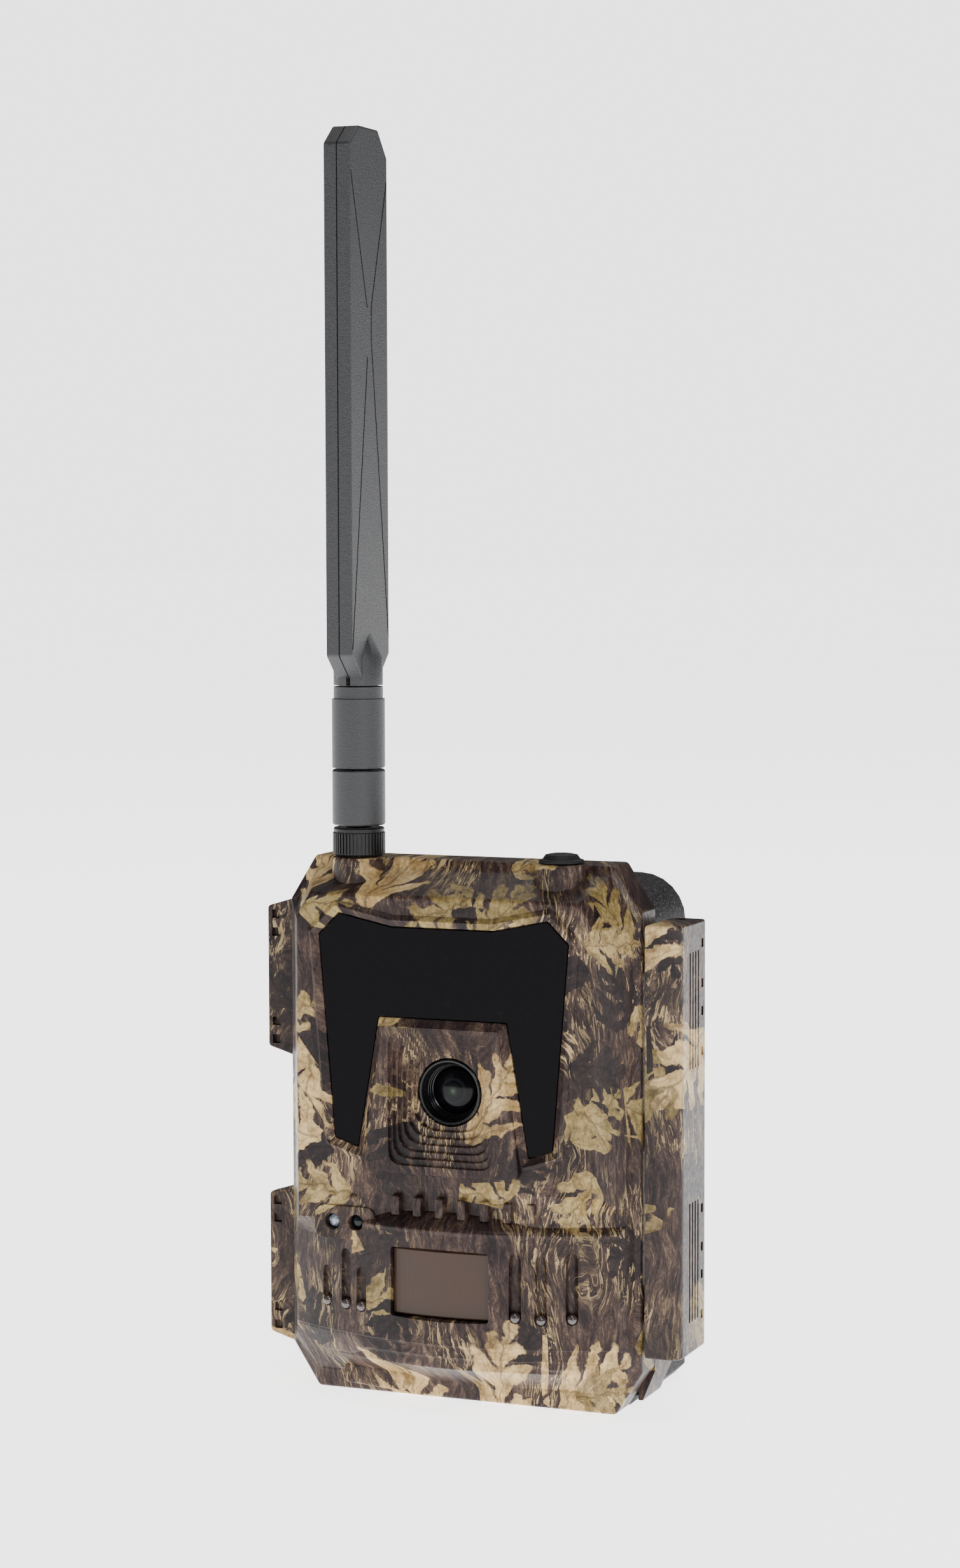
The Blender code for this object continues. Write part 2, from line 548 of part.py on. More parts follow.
def build_cell(number, x, start, up):
    """A cell with its raised button at one end and a coiled contact at the other."""
    low = start + (4.4 if up else 1.6)
    cell = rod(f"cell_{number}", (x, CELL_Y, low + CELL_LENGTH / 2), CELL_R, CELL_LENGTH,
               look=CELL, sides=24)
    tip = low + CELL_LENGTH + 0.4 if up else low - 0.4
    join(cell, cutter(rod, f"cell_button_{number}", (x, CELL_Y, tip), 2.7, 1.6, sides=16))
    turns, points = 2.5, 22
    curve = bpy.data.curves.new(f"contact_spring_{number}", "CURVE")
    curve.dimensions = "3D"
    curve.bevel_depth = 0.35 * MM
    curve.bevel_resolution = 0
    curve.use_fill_caps = True
    spline = curve.splines.new("POLY")
    spline.points.add(points)
    far, near = (start + 0.6, low - 0.6) if up else (start + ROW_LENGTH - 0.6, low + CELL_LENGTH + 0.6)
    for index in range(points + 1):
        part = index / points
        radius = (4.4 - 2.2 * part) * MM
        angle = part * turns * math.tau
        spline.points[index].co = (x * MM + radius * math.cos(angle),
                                   CELL_Y * MM + radius * math.sin(angle),
                                   (far + (near - far) * part) * MM, 1.0)
    spring = bpy.data.objects.new(f"contact_spring_{number}", curve)
    curve.materials.append(STEEL)
    PARTS.objects.link(spring)


# ---- antenna ------------------------------------------------------------------------
def build_antenna():
    x, y = -BOSS_X, BOSS_Y
    rod("antenna_connector", (x, y, 144.0), 3.1, 21.0, look=BRASS, sides=24)
    nut_height = NUT_Z[1] - NUT_Z[0]
    nut = rod("antenna_nut", (x, y, sum(NUT_Z) / 2), ANTENNA_R, nut_height, look=CHARCOAL, sides=40)
    cut(nut, cutter(rod, "nut_bore", (x, y, sum(NUT_Z) / 2), 3.5, 12.0, sides=24))
    base = rod("antenna_base", (x, y, sum(BASE_Z) / 2), ANTENNA_R, BASE_Z[1] - BASE_Z[0],
               look=CHARCOAL, sides=36)
    add_bevel(base, 0.4)
    tongue = cutter(block, "fold_tongue", (x - 2.6, y - 3.0, BASE_Z[1] - 2), (x + 2.6, y + 3.0, FOLD_Z))
    knuckle = cutter(rod, "fold_knuckle", (x, y, FOLD_Z), 3.0, 5.2, "X", sides=20)
    pin_bore = cutter(rod, "fold_bore", (x, y, FOLD_Z), 1.5, 30.0, "X", sides=16)
    join(tongue, knuckle)
    join(base, tongue)
    cut(base, pin_bore)
    rod("fold_pin", (x, y, FOLD_Z), 1.2, 13.2, "X", STEEL, sides=16)

    yoke = rod("antenna_yoke", (x, y, sum(YOKE_Z) / 2), ANTENNA_R, YOKE_Z[1] - YOKE_Z[0],
               look=CHARCOAL, sides=36)
    neck = cutter(rod, "yoke_neck", (x, y, 192.0), ANTENNA_R - 0.5, 4.6, sides=32)
    join(yoke, neck)
    slot = cutter(block, "fold_slot", (x - 2.95, y - 3.6, YOKE_Z[0] - 1),
                  (x + 2.95, y + 9.0, FOLD_Z + 3.6))
    reach = FOLD_Z - YOKE_Z[0]
    swing = [(y, YOKE_Z[0] - 3.0), (y + 9.0, YOKE_Z[0] - 3.0), (y + 9.0, FOLD_Z)]
    swing += arc((y, FOLD_Z), reach, 0, -90, 8)
    rounding = cutter(prism, "fold_rounding", swing, x - 9.0, x + 9.0, axis="X")
    yoke_bore = cutter(rod, "yoke_bore", (x, y, FOLD_Z), 1.5, 13.9, "X", sides=16)
    cut(yoke, slot, rounding, yoke_bore)
    build_paddle(x, y)


def paddle_outline(y, inset=0.0):
    half = PADDLE_WIDE / 2 - inset
    low, high = PADDLE_LOW + 1.2 + inset, PADDLE_HIGH - inset
    return [(y - 5.0, low), (y + 5.0, low), (y + half, low + 7.0), (y + half, high - 7.0),
            (y + half - 6.0, high), (y - half + 6.0, high), (y - half, high - 5.0),
            (y - half, low + 7.0)]


def build_paddle(x, y):
    for side, name in ((-1, "paddle_left_shell"), (1, "paddle_right_shell")):
        inner, outer = side * 0.15, side * (PADDLE_THICK / 2)
        shell = prism(name, paddle_outline(y), x + inner, x + outer, axis="X", look=CHARCOAL)
        pocket = cutter(prism, f"{name}_pocket", paddle_outline(y, 2.0), x - side * 1.0,
                        x + side * 1.4, axis="X")
        cut(shell, pocket)
    block("antenna_board", (x - 0.8, y - 8.0, PADDLE_LOW + 14.0), (x + 0.8, y + 8.0, PADDLE_HIGH - 14.0),
          BOARD)


def build_plug():
    x, y = BOSS_X, BOSS_Y
    dome = rod("port_plug", (x, y, BOSS_TOP + 1.5), 6.1, 2.4, look=RUBBER, sides=32, radius_far=4.0)
    join(dome, cutter(rod, "plug_stem", (x, y, 145.0), 3.2, 8.4, sides=24))


build_front_cover()
build_front_windows()
build_lens()
build_door_inside()
build_case()
build_bracket()
build_rails()
build_pins()
build_latch()
build_batteries()
build_antenna()
build_plug()
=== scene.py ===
"""The looks of the trail camera: camouflage film, moulded detail and a textured antenna."""
import math

import bmesh
import bpy
from mathutils import Matrix, Vector


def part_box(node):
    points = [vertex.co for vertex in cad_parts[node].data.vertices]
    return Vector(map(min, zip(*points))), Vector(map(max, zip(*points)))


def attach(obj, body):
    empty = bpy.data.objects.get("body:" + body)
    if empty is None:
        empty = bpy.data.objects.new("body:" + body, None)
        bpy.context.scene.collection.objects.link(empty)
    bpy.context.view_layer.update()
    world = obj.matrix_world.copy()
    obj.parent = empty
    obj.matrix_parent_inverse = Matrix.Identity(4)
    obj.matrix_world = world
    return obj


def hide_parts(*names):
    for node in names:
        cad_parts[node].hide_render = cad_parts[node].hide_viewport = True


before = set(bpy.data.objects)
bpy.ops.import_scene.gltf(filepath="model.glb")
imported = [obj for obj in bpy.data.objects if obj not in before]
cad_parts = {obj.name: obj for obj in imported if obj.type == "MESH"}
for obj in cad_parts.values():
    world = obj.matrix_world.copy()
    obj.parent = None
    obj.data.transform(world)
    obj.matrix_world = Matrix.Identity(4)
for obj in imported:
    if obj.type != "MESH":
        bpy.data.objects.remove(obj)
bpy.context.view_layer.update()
MM = 0.001


# ---- camera, first, so that everything is judged from the same place ----
def place_camera():
    """Stand right of the front and a little above it, with a short telephoto lens."""
    turn, down, roll = math.radians(22.0), math.radians(4.347), math.radians(-0.16)
    data = bpy.data.cameras.new("viewpoint")
    data.lens = 76.86
    data.clip_end = 20.0
    camera = bpy.data.objects.new("viewpoint", data)
    bpy.context.scene.collection.objects.link(camera)
    facing = (Matrix.Rotation(turn, 4, "Z") @ Matrix.Rotation(math.pi / 2 - down, 4, "X")
              @ Matrix.Rotation(roll, 4, "Z"))
    camera.matrix_world = Matrix.Translation((0.33958, -0.85842, 0.23641)) @ facing
    bpy.context.scene.camera = camera


place_camera()


# ---- node trees ----
def add_node(tree, kind, settings, inputs):
    """Add a node, set its properties, and give each input a link or a constant."""
    made = tree.nodes.new(kind)
    for key, value in (settings or {}).items():
        setattr(made, key, value)
    pairs = inputs.items() if isinstance(inputs, dict) else enumerate(inputs)
    for key, value in pairs:
        value = getattr(value, "socket", value)
        if isinstance(value, bpy.types.NodeSocket):
            tree.links.new(value, made.inputs[key])
        else:
            made.inputs[key].default_value = value
    return made


def operator(operation):
    """A method that adds a Math node working on the value and what it is given."""
    def apply(self, *others):
        return self.finish.node("ShaderNodeMath", {"operation": operation}, (self, *others))
    return apply


class Value:
    """A socket carrying a number; arithmetic on it adds Math nodes."""

    def __init__(self, finish, socket):
        self.finish = finish
        self.socket = socket

    __add__ = __radd__ = operator("ADD")
    __mul__ = __rmul__ = operator("MULTIPLY")
    __sub__ = operator("SUBTRACT")
    __truediv__ = operator("DIVIDE")
    __pow__ = operator("POWER")
    __abs__ = operator("ABSOLUTE")
    __gt__ = operator("GREATER_THAN")
    __lt__ = operator("LESS_THAN")
    sin = operator("SINE")
    cos = operator("COSINE")
    most = operator("MAXIMUM")
    least = operator("MINIMUM")

    def __rsub__(self, other):
        return self.finish.node("ShaderNodeMath", {"operation": "SUBTRACT"}, (other, self))

    def ramp(self, low, high, start=0.0, end=1.0):
        """Smooth step from start to end as this value goes from low to high."""
        return self.finish.node("ShaderNodeMapRange", {"interpolation_type": "SMOOTHSTEP"},
                                {0: self, 1: low, 2: high, 3: start, 4: end})


class Finish:
    """One material: its nodes are added by node() and by sums on the values it returns."""

    def __init__(self, name, roughness=0.5, metallic=0.0, colour=(0.5, 0.5, 0.5), **constants):
        self.material = bpy.data.materials.new(name)
        self.material.use_nodes = True
        self.tree = self.material.node_tree
        self.shader = self.tree.nodes["Principled BSDF"]
        self.shader.inputs["Base Color"].default_value = (*colour, 1.0)
        self.shader.inputs["Roughness"].default_value = roughness
        self.shader.inputs["Metallic"].default_value = metallic
        for key, value in constants.items():
            self.shader.inputs[self.socket_name(key)].default_value = value
        place = self.tree.nodes.new("ShaderNodeTexCoord")
        self.place = Value(self, place.outputs["Object"])

    @staticmethod
    def socket_name(key):
        return key.replace("_", " ").title().replace("Ior", "IOR")

    def node(self, kind, settings=None, inputs=(), output=0):
        return Value(self, add_node(self.tree, kind, settings, inputs).outputs[output])

    def split(self, vector, axis):
        return self.node("ShaderNodeSeparateXYZ", None, (vector,), axis)

    def vector(self, x, y, z=0.0):
        return self.node("ShaderNodeCombineXYZ", None, (x, y, z))

    def axes_mm(self):
        scaled = self.node("ShaderNodeVectorMath", {"operation": "SCALE"},
                           {0: self.place, "Scale": 1000.0})
        return [self.split(scaled, axis) for axis in ("X", "Y", "Z")]

    def noise(self, where, scale=1.0, detail=3.0, roughness=0.5, distortion=0.0):
        return self.node("ShaderNodeTexNoise", None,
                         {"Vector": where, "Scale": scale, "Detail": detail,
                          "Roughness": roughness, "Distortion": distortion})

    def cells(self, where, randomness, output="Distance"):
        return self.node("ShaderNodeTexVoronoi", None,
                         {"Vector": where, "Scale": 1.0, "Randomness": randomness}, output)

    def mix(self, factor, first, second):
        def padded(colour):
            return colour if isinstance(colour, Value) else (*colour, 1.0)
        return self.node("ShaderNodeMix", {"data_type": "RGBA"},
                         {0: factor, 6: padded(first), 7: padded(second)}, 2)

    def stops(self, value, *stops):
        """Colours at their positions, blended between."""
        blended = self.node("ShaderNodeValToRGB", None, (value,))
        elements = blended.socket.node.color_ramp.elements
        while len(elements) < len(stops):
            elements.new(0.5)
        for element, (position, colour) in zip(elements, stops):
            element.position = position
            element.color = (*colour, 1.0)
        return blended

    def drive(self, **sockets):
        for name, value in sockets.items():
            self.tree.links.new(value.socket, self.shader.inputs[self.socket_name(name)])

    def bump(self, height, distance):
        inputs = {"Height": height, "Distance": distance, "Strength": 1.0}
        self.drive(normal=self.node("ShaderNodeBump", None, inputs))


# ---- materials ----
FULL_TURN, QUARTER_TURN = 6.283, 1.5708
WRAP_START, WRAP_FOLLOWS = -45.0, 0.8      # where the film bends to the sides, and its pull


def leaf_layer(finish, u, v, cell, seed, lobes, share):
    """Scatter one lobed leaf in each cell: its mask, veins, rim and a random number."""
    where = finish.vector(u / cell + seed, v / cell + seed * 1.7)
    centre = finish.cells(where, randomness=0.75, output="Position")
    chance = finish.cells(where, randomness=0.75, output="Color")
    offset = finish.node("ShaderNodeVectorMath", {"operation": "SUBTRACT"}, (where, centre))
    x = finish.split(offset, "X") + (finish.noise(where, scale=5.2, detail=6.0) - 0.5) * 0.26
    y = finish.split(offset, "Y") + (finish.noise(where, scale=4.7, detail=6.0) - 0.5) * 0.26
    turn = finish.split(chance, "X") * FULL_TURN
    along = (x * turn.cos() + y * turn.sin()) / 0.44
    across = abs(y * turn.cos() - x * turn.sin())
    phase = (along - across * 2.4) * (lobes * QUARTER_TURN)
    lobe = abs(phase.sin())
    taper = (1.0 - along * along).most(0.0) ** 0.55 * (1.05 - along * 0.35)
    width = taper * (lobe ** 1.25 * 0.27 + 0.050)
    there = finish.split(chance, "Y") < share
    mask = ((width - across) * 34.0).ramp(0.0, 1.0) * there
    side = abs(phase.cos())
    veins = (across * 60.0).ramp(0.2, 1.2, 1.0, 0.0).most((side * 5.0).ramp(0.2, 1.0, 0.6, 0.0))
    rim = ((width - across) * 16.0).ramp(0.0, 1.0, 1.0, 0.0)
    return mask, veins, rim, finish.split(chance, "Z")


# each layer of leaves: cell size, seed, lobes, share of cells that hold a leaf, three colours
LEAVES = (
    (27.0, 9.4, 3.0, 0.30, (0.10, 0.068, 0.020), (0.31, 0.228, 0.095), (0.035, 0.021, 0.008)),
    (24.0, 3.1, 3.5, 0.42, (0.008, 0.005, 0.006), (0.030, 0.019, 0.018), (0.004, 0.003, 0.003)),
    (34.0, 5.7, 3.5, 0.32, (0.24, 0.145, 0.050), (0.62, 0.44, 0.21), (0.040, 0.023, 0.012)),
    (24.0, 13.9, 3.0, 0.20, (0.14, 0.092, 0.030), (0.43, 0.31, 0.140), (0.038, 0.023, 0.009)))


def camouflage(name, gloss, leaf_scale=1.0, shift=0.0):
    """Printed film: bark fibres under scattered cream and olive leaves, wrapped round the sides."""
    f = Finish(name, roughness=0.42, coat_weight=gloss, coat_roughness=0.15,
               specular_ior_level=0.13)
    x, y, z = f.axes_mm()
    side = (x / 45.0).most(-1.0).least(1.0)
    u = x + side * (y - WRAP_START) * WRAP_FOLLOWS + shift
    v = z + (y - WRAP_START) * 0.35 + shift
    sway = f.noise(f.vector(u * 0.030, v * 0.018), detail=3.0) - 0.5
    bark_u = u + sway * 34.0
    plates = f.noise(f.vector(bark_u * 0.085, v * 0.026), detail=4.0, roughness=0.6)
    fibre = f.noise(f.vector(bark_u * 0.58, v * 0.14), detail=7.0, roughness=0.76, distortion=0.5)
    grain = f.noise(f.vector(bark_u * 2.0, v * 0.9), detail=4.0, roughness=0.8)
    depth = plates * 0.5 + fibre * 0.95 + grain * 0.40 - 0.42
    bark = f.stops(depth, (0.30, (0.005, 0.0028, 0.0034)), (0.43, (0.017, 0.0095, 0.0095)),
                   (0.54, (0.044, 0.0265, 0.022)), (0.63, (0.098, 0.063, 0.045)),
                   (0.74, (0.27, 0.185, 0.105)))
    zone = f.noise(f.vector(bark_u * 0.045 + 7.0, v * 0.030), detail=3.0).ramp(0.47, 0.58)
    thread = f.noise(f.vector(bark_u * 0.85 + 3.0, v * 0.15), detail=5.0, roughness=0.75,
                     distortion=1.0)
    strand = thread.ramp(0.53, 0.58) * zone
    colour = f.mix(strand * 0.92, bark, (0.40, 0.29, 0.145))
    murk = f.noise(f.vector(u * 0.032 + 21.0, v * 0.032), detail=3.0).ramp(0.52, 0.62)
    colour = f.mix(murk * 0.65, colour, (0.013, 0.008, 0.009))
    blend = f.noise(f.vector(u * 0.17, v * 0.17), detail=6.0, roughness=0.74)
    fine = f.noise(f.vector(u * 1.3, v * 0.8), detail=5.0, roughness=0.8, distortion=0.6)
    shade = f.noise(f.vector(u * 0.11 + 40.0, v * 0.11), detail=5.0, roughness=0.7)
    shade = shade.ramp(0.50, 0.66)
    for cell, seed, lobes, share, dark, light, line in LEAVES:
        mask, veins, rim, chance = leaf_layer(f, u, v, cell * leaf_scale, seed, lobes, share)
        face = f.mix((blend * 1.9 + fine * 1.2 + chance * 0.2 - 1.15).ramp(0.1, 0.9), dark, light)
        face = f.mix(shade * 0.6, face, line)
        face = f.mix(veins * 0.55, face, line)
        face = f.mix(rim * blend.ramp(0.40, 0.56) * 0.9, face, line)
        colour = f.mix(mask, colour, face)
    scuff = f.noise(f.vector(x * 0.9, y * 0.9, z * 0.9), detail=5.0)
    f.drive(base_color=colour, roughness=scuff.ramp(0.3, 0.7, 0.30, 0.46))
    f.bump(fibre + grain * 0.3, 0.00005)
    return f.material


def plain_plastic(name, colour, roughness, speckle, size, grain=0.00005, shine=0.3):
    """Moulded plastic with a spark-eroded texture and slightly uneven colour."""
    f = Finish(name, roughness=roughness, specular_ior_level=shine)
    dots = f.noise(f.place, scale=size * 1000.0, detail=3.0, roughness=0.65)
    broad = f.noise(f.place, scale=45.0, detail=3.0)
    level = (dots - 0.5) * speckle * 2.0 + (broad - 0.5) * 0.22 + 0.5
    dark = tuple(c * (1.0 - speckle) for c in colour)
    light = tuple(min(1.0, c * (1.0 + speckle) + 0.004) for c in colour)
    f.drive(base_color=f.mix(level, dark, light),
            roughness=dots.ramp(0.3, 0.7, roughness - 0.07, roughness + 0.07))
    f.bump(dots, grain)
    return f.material


def speckled_case():
    """Dark grey case with pale flecks in the moulding."""
    f = Finish("speckled_case", roughness=0.6, specular_ior_level=0.1)
    fleck = f.noise(f.place, scale=2300.0, detail=2.0, roughness=0.6)
    cloud = f.noise(f.place, scale=900.0, detail=3.0, roughness=0.6)
    tone = f.stops(fleck * 0.7 + cloud * 0.3, (0.36, (0.006, 0.0055, 0.006)),
                   (0.52, (0.019, 0.0175, 0.019)), (0.65, (0.11, 0.105, 0.11)))
    f.drive(base_color=tone, roughness=fleck.ramp(0.3, 0.7, 0.48, 0.66))
    f.bump(fleck, 0.00008)
    return f.material


def infrared_filter():
    """Near black window, with faint rows of lamps behind it."""
    f = Finish("infrared_filter", roughness=0.22, specular_ior_level=0.05)
    x, _, z = f.axes_mm()
    spot = f.cells(f.vector(x / 7.5, z / 6.8), randomness=0.35)
    glow = spot.ramp(0.02, 0.16, 1.0, 0.0)
    dust = f.noise(f.place, scale=700.0, detail=2.0)
    f.drive(base_color=f.mix(glow * 0.5, (0.0016, 0.0012, 0.0020), (0.006, 0.0035, 0.0055)),
            roughness=dust.ramp(0.3, 0.8, 0.14, 0.24))
    return f.material


def sensor_film():
    """Brown, slightly ribbed plastic that lets heat through."""
    f = Finish("sensor_film", roughness=0.42, specular_ior_level=0.3)
    x, _, z = f.axes_mm()
    drift = f.noise(f.vector(x * 0.05, z * 0.08), detail=2.0)
    ridge = (x * 5.2).sin()
    brown = f.mix(drift.ramp(0.30, 0.70), (0.034, 0.0165, 0.0095), (0.044, 0.0215, 0.0125))
    f.drive(base_color=brown, roughness=drift.ramp(0.3, 0.7, 0.34, 0.44))
    f.bump(ridge, 0.00001)
    return f.material


def metal(name, colour, roughness):
    f = Finish(name, metallic=1.0, colour=colour, roughness=roughness)
    x, y, z = f.axes_mm()
    line = f.noise(f.vector(x * 0.6, y * 0.6, z * 9.0), detail=4.0)
    dull = f.noise(f.place, scale=260.0, detail=4.0)
    f.drive(base_color=f.mix(dull.ramp(0.4, 0.7), colour, tuple(c * 0.6 for c in colour)),
            roughness=line.ramp(0.3, 0.7, roughness - 0.12, roughness + 0.12))
    f.bump(line, 0.00002)
    return f.material


def circuit_board():
    f = Finish("circuit_board", roughness=0.35)
    x, _, z = f.axes_mm()
    pads = f.cells(f.vector(x * 0.5, z * 0.5), randomness=0.2).ramp(0.10, 0.14, 1.0, 0.0)
    track = (f.noise(f.vector(x * 0.18, z * 0.18), detail=0.0) * 40.0).sin().ramp(0.75, 0.85)
    green = f.mix(track, (0.010, 0.070, 0.028), (0.022, 0.120, 0.050))
    f.drive(base_color=f.mix(pads * 0.7, green, (0.55, 0.42, 0.16)),
            roughness=pads.ramp(0.0, 1.0, 0.38, 0.22))
    return f.material


def cell_wrap():
    """Printed wrap: a copper-coloured top band over a black body, slightly scuffed."""
    f = Finish("cell_wrap", roughness=0.3, metallic=0.6, coat_weight=0.4)
    z = f.axes_mm()[2]
    upper_row = (z > 72.0) * 58.5
    up_the_cell = z - upper_row - 17.0
    band = up_the_cell.ramp(33.0, 33.6)
    scuff = f.noise(f.place, scale=420.0, detail=5.0)
    colour = f.mix(band, (0.012, 0.012, 0.014), (0.50, 0.235, 0.085))
    f.drive(base_color=f.mix(scuff.ramp(0.62, 0.75) * 0.5, colour, (0.35, 0.33, 0.30)),
            roughness=scuff.ramp(0.3, 0.7, 0.22, 0.42))
    return f.material


def lens_painted_glints():
    """Front glass with a green and violet coating; its near black is painted shade from the barrel
    behind it, with a painted green reflection at the centre and a painted grey ring highlight.
    """
    f = Finish("lens_painted_glints", roughness=0.14, specular_ior_level=0.14)
    x, _, z = f.axes_mm()
    radius = ((x * x + (z - 86.4) * (z - 86.4)) ** 0.5) / 6.4
    # painted reflection and shade: green glint at the centre, grey ring highlight at half radius,
    # painted barrel shade between and beyond
    painted_glint_and_shade = f.stops(radius, (0.0, (0.060, 0.085, 0.055)), (0.10, (0.020, 0.030, 0.022)),
                   (0.20, (0.006, 0.008, 0.007)), (0.42, (0.002, 0.002, 0.003)),
                   (0.50, (0.008, 0.009, 0.011)), (0.58, (0.002, 0.002, 0.003)),
                   (1.0, (0.0015, 0.0015, 0.002)))
    f.drive(base_color=painted_glint_and_shade)
    return f.material


def screen_face():
    f = Finish("screen_face", roughness=0.12, specular_ior_level=0.25)
    smear = f.noise(f.place, scale=60.0, detail=4.0)
    f.drive(base_color=f.mix(smear.ramp(0.4, 0.7), (0.004, 0.006, 0.008), (0.010, 0.013, 0.017)),
            roughness=smear.ramp(0.3, 0.7, 0.08, 0.2))
    return f.material


def small_window():
    f = Finish("small_window", roughness=0.08, coat_weight=1.0, coat_roughness=0.05)
    swirl = f.noise(f.place, scale=900.0, detail=2.0)
    f.drive(base_color=f.mix(swirl.ramp(0.35, 0.65), (0.10, 0.12, 0.145), (0.30, 0.34, 0.40)))
    return f.material


CAMO = camouflage("camouflage_film", 0.05)
BALL_GLOSS = plain_plastic("polished_balls", (0.045, 0.032, 0.030), 0.14, 0.3, 0.9, shine=0.9)
LATCH_CAMO = camouflage("latch_film", 0.12, 1.15, 31.0)
CASE = speckled_case()
FILTER = infrared_filter()
FILM = sensor_film()
BLACK = plain_plastic("black_plastic", (0.008, 0.008, 0.009), 0.42, 0.2, 1.5, 0.00003)
TRAY = plain_plastic("tray_plastic", (0.018, 0.018, 0.020), 0.5, 0.2, 1.2)
LENS_BLACK = plain_plastic("lens_black", (0.002, 0.002, 0.0025), 0.24, 0.2, 1.0, 0.00001)
SMOOTH_BLACK = plain_plastic("smooth_black", (0.005, 0.005, 0.0055), 0.38, 0.2, 1.2, 0.00002)
ANTENNA = plain_plastic("antenna_plastic", (0.017, 0.0175, 0.0195), 0.42, 0.6, 2.2, 0.00008, 0.5)
RUBBER = plain_plastic("soft_rubber", (0.004, 0.004, 0.0045), 0.6, 0.2, 1.0)
KEYS = plain_plastic("grey_keys", (0.22, 0.22, 0.23), 0.6, 0.12, 1.4)
STEEL = metal("plain_steel", (0.56, 0.56, 0.57), 0.32)
BRASS = metal("turned_brass", (0.72, 0.52, 0.22), 0.28)
BOARD = circuit_board()
WRAP = cell_wrap()
SCREEN = screen_face()
GLASS = lens_painted_glints()
WINDOW = small_window()

KEY_NODES = [f"key_{key}" for key in ("ok", "up", "down", "left", "right", "menu")]
NODE_FINISHES = (
    (CAMO, ["front_cover", "hinge_rail", "latch_rail"]),
    (LATCH_CAMO, ["latch_cover"]),
    (CASE, ["rear_case", "strap_bracket"]),
    (FILTER, ["infrared_window"]),
    (FILM, ["pir_window"]),
    (GLASS, ["lens_glass"]),
    (WINDOW, ["status_window"]),
    (SCREEN, ["light_sensor_window", "screen"]),
    (BLACK, ["lens_barrel", "image_sensor", "inner_panel", "power_jack"]),
    (TRAY, ["memory_card", "battery_tray"]),
    (STEEL, ["pir_sensor", "hinge_pin_upper", "hinge_pin_lower", "latch_pin", "fold_pin",
             "bracket_screw_1", "bracket_screw_2",
             *(f"contact_spring_{number}" for number in range(1, 9))]),
    (BRASS, ["tripod_insert", "antenna_connector"]),
    (RUBBER, ["case_seal", "port_plug"]),
    (BOARD, ["main_board", "infrared_led_board", "antenna_board"]),
    (ANTENNA, ["antenna_nut", "antenna_base", "antenna_yoke", "paddle_left_shell",
               "paddle_right_shell"]),
    (KEYS, ["power_switch", *KEY_NODES]),
    (WRAP, [f"cell_{number}" for number in range(1, 9)]))
for finish, nodes in NODE_FINISHES:
    for node in nodes:
        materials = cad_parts[node].data.materials
        materials.clear()
        materials.append(finish)


# ---- making meshes; all sizes below are in millimetres ----
def node_box(node):
    low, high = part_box(node)
    return [value / MM for value in low], [value / MM for value in high]


def middle(node):
    return [(low + high) / 2 for low, high in zip(*node_box(node))]


def soften(points, radius, steps=4):
    """Round every corner of a closed outline."""
    rounded = []
    for i, corner in enumerate(points):
        here = Vector(corner)
        back = Vector(points[i - 1]) - here
        ahead = Vector(points[(i + 1) % len(points)]) - here
        reach = min(radius / math.tan(max(0.2, back.angle(ahead) / 2)), back.length * 0.48,
                    ahead.length * 0.48)
        first, last = here + back.normalized() * reach, here + ahead.normalized() * reach
        for step in range(steps + 1):
            t = step / steps
            rounded.append(tuple(first * (1 - t) ** 2 + here * 2 * t * (1 - t) + last * t ** 2))
    return rounded


def mirrored(half):
    """Close an outline from its right half, which runs from bottom to top."""
    return list(half) + [(-x, z) for x, z in reversed(half)]


def octagon(half, top_half, low_half, low, high, top_cut, low_cut):
    return mirrored([(low_half, low), (half, low + low_cut), (half, high - top_cut),
                     (top_half, high)])


def arc(centre, radius, angles):
    """Points of a circle at some angles, in degrees."""
    turns = [math.radians(angle) for angle in angles]
    return [(centre[0] + radius * math.cos(turn), centre[1] + radius * math.sin(turn))
            for turn in turns]


def spread(half, count):
    """Equal steps from -half to half."""
    return [-half + 2 * half * i / count for i in range(count + 1)]


def box_outline(x0, x1, z0, z1):
    return [(x1, z0), (x1, z1), (x0, z1), (x0, z0)]


def shrink(outline, by):
    """Move each edge of an outline inwards, or outwards by a negative amount."""
    count = len(outline)
    area = sum(outline[i - 1][0] * outline[i][1] - outline[i][0] * outline[i - 1][1]
               for i in range(count))
    side = 1.0 if area > 0 else -1.0
    moved = []
    for i, point in enumerate(outline):
        edges = [Vector(point) - Vector(outline[i - 1]),
                 Vector(outline[(i + 1) % count]) - Vector(point)]
        edges = [edge for edge in edges if edge.length > 1e-5]
        normals = [Vector((-edge.y, edge.x)).normalized() * side for edge in edges]
        middle = sum(normals, Vector((0.0, 0.0))).normalized()
        scale = 1.0 / max(0.4, middle.dot(normals[0]))
        moved.append((point[0] + middle.x * by * scale, point[1] + middle.y * by * scale))
    return moved


def level(outline, depth, inset=0.0, corner=0.0):
    """An outline at one depth, as a row for loft(); it is inset first and then rounded."""
    if inset:
        outline = shrink(outline, inset)
    if corner:
        outline = soften(outline, corner)
    return [(a, b, depth) for a, b in outline]


def round_stack(rows, radius, steps=3):
    """Round the bends where one row's wall turns into the next one's."""
    smooth = [rows[0]]
    for before, here, after in zip(rows, rows[1:], rows[2:]):
        bends = [[] for _ in range(steps + 1)]
        for p, q, r in zip(before, here, after):
            p, q, r = Vector(p), Vector(q), Vector(r)
            reach = min(radius, (p - q).length * 0.45, (r - q).length * 0.45)
            first = q + (p - q).normalized() * reach
            last = q + (r - q).normalized() * reach
            for step, bend in enumerate(bends):
                t = step / steps
                bend.append(first * (1 - t) ** 2 + q * 2 * t * (1 - t) + last * t ** 2)
        smooth += bends
    return smooth + [rows[-1]]


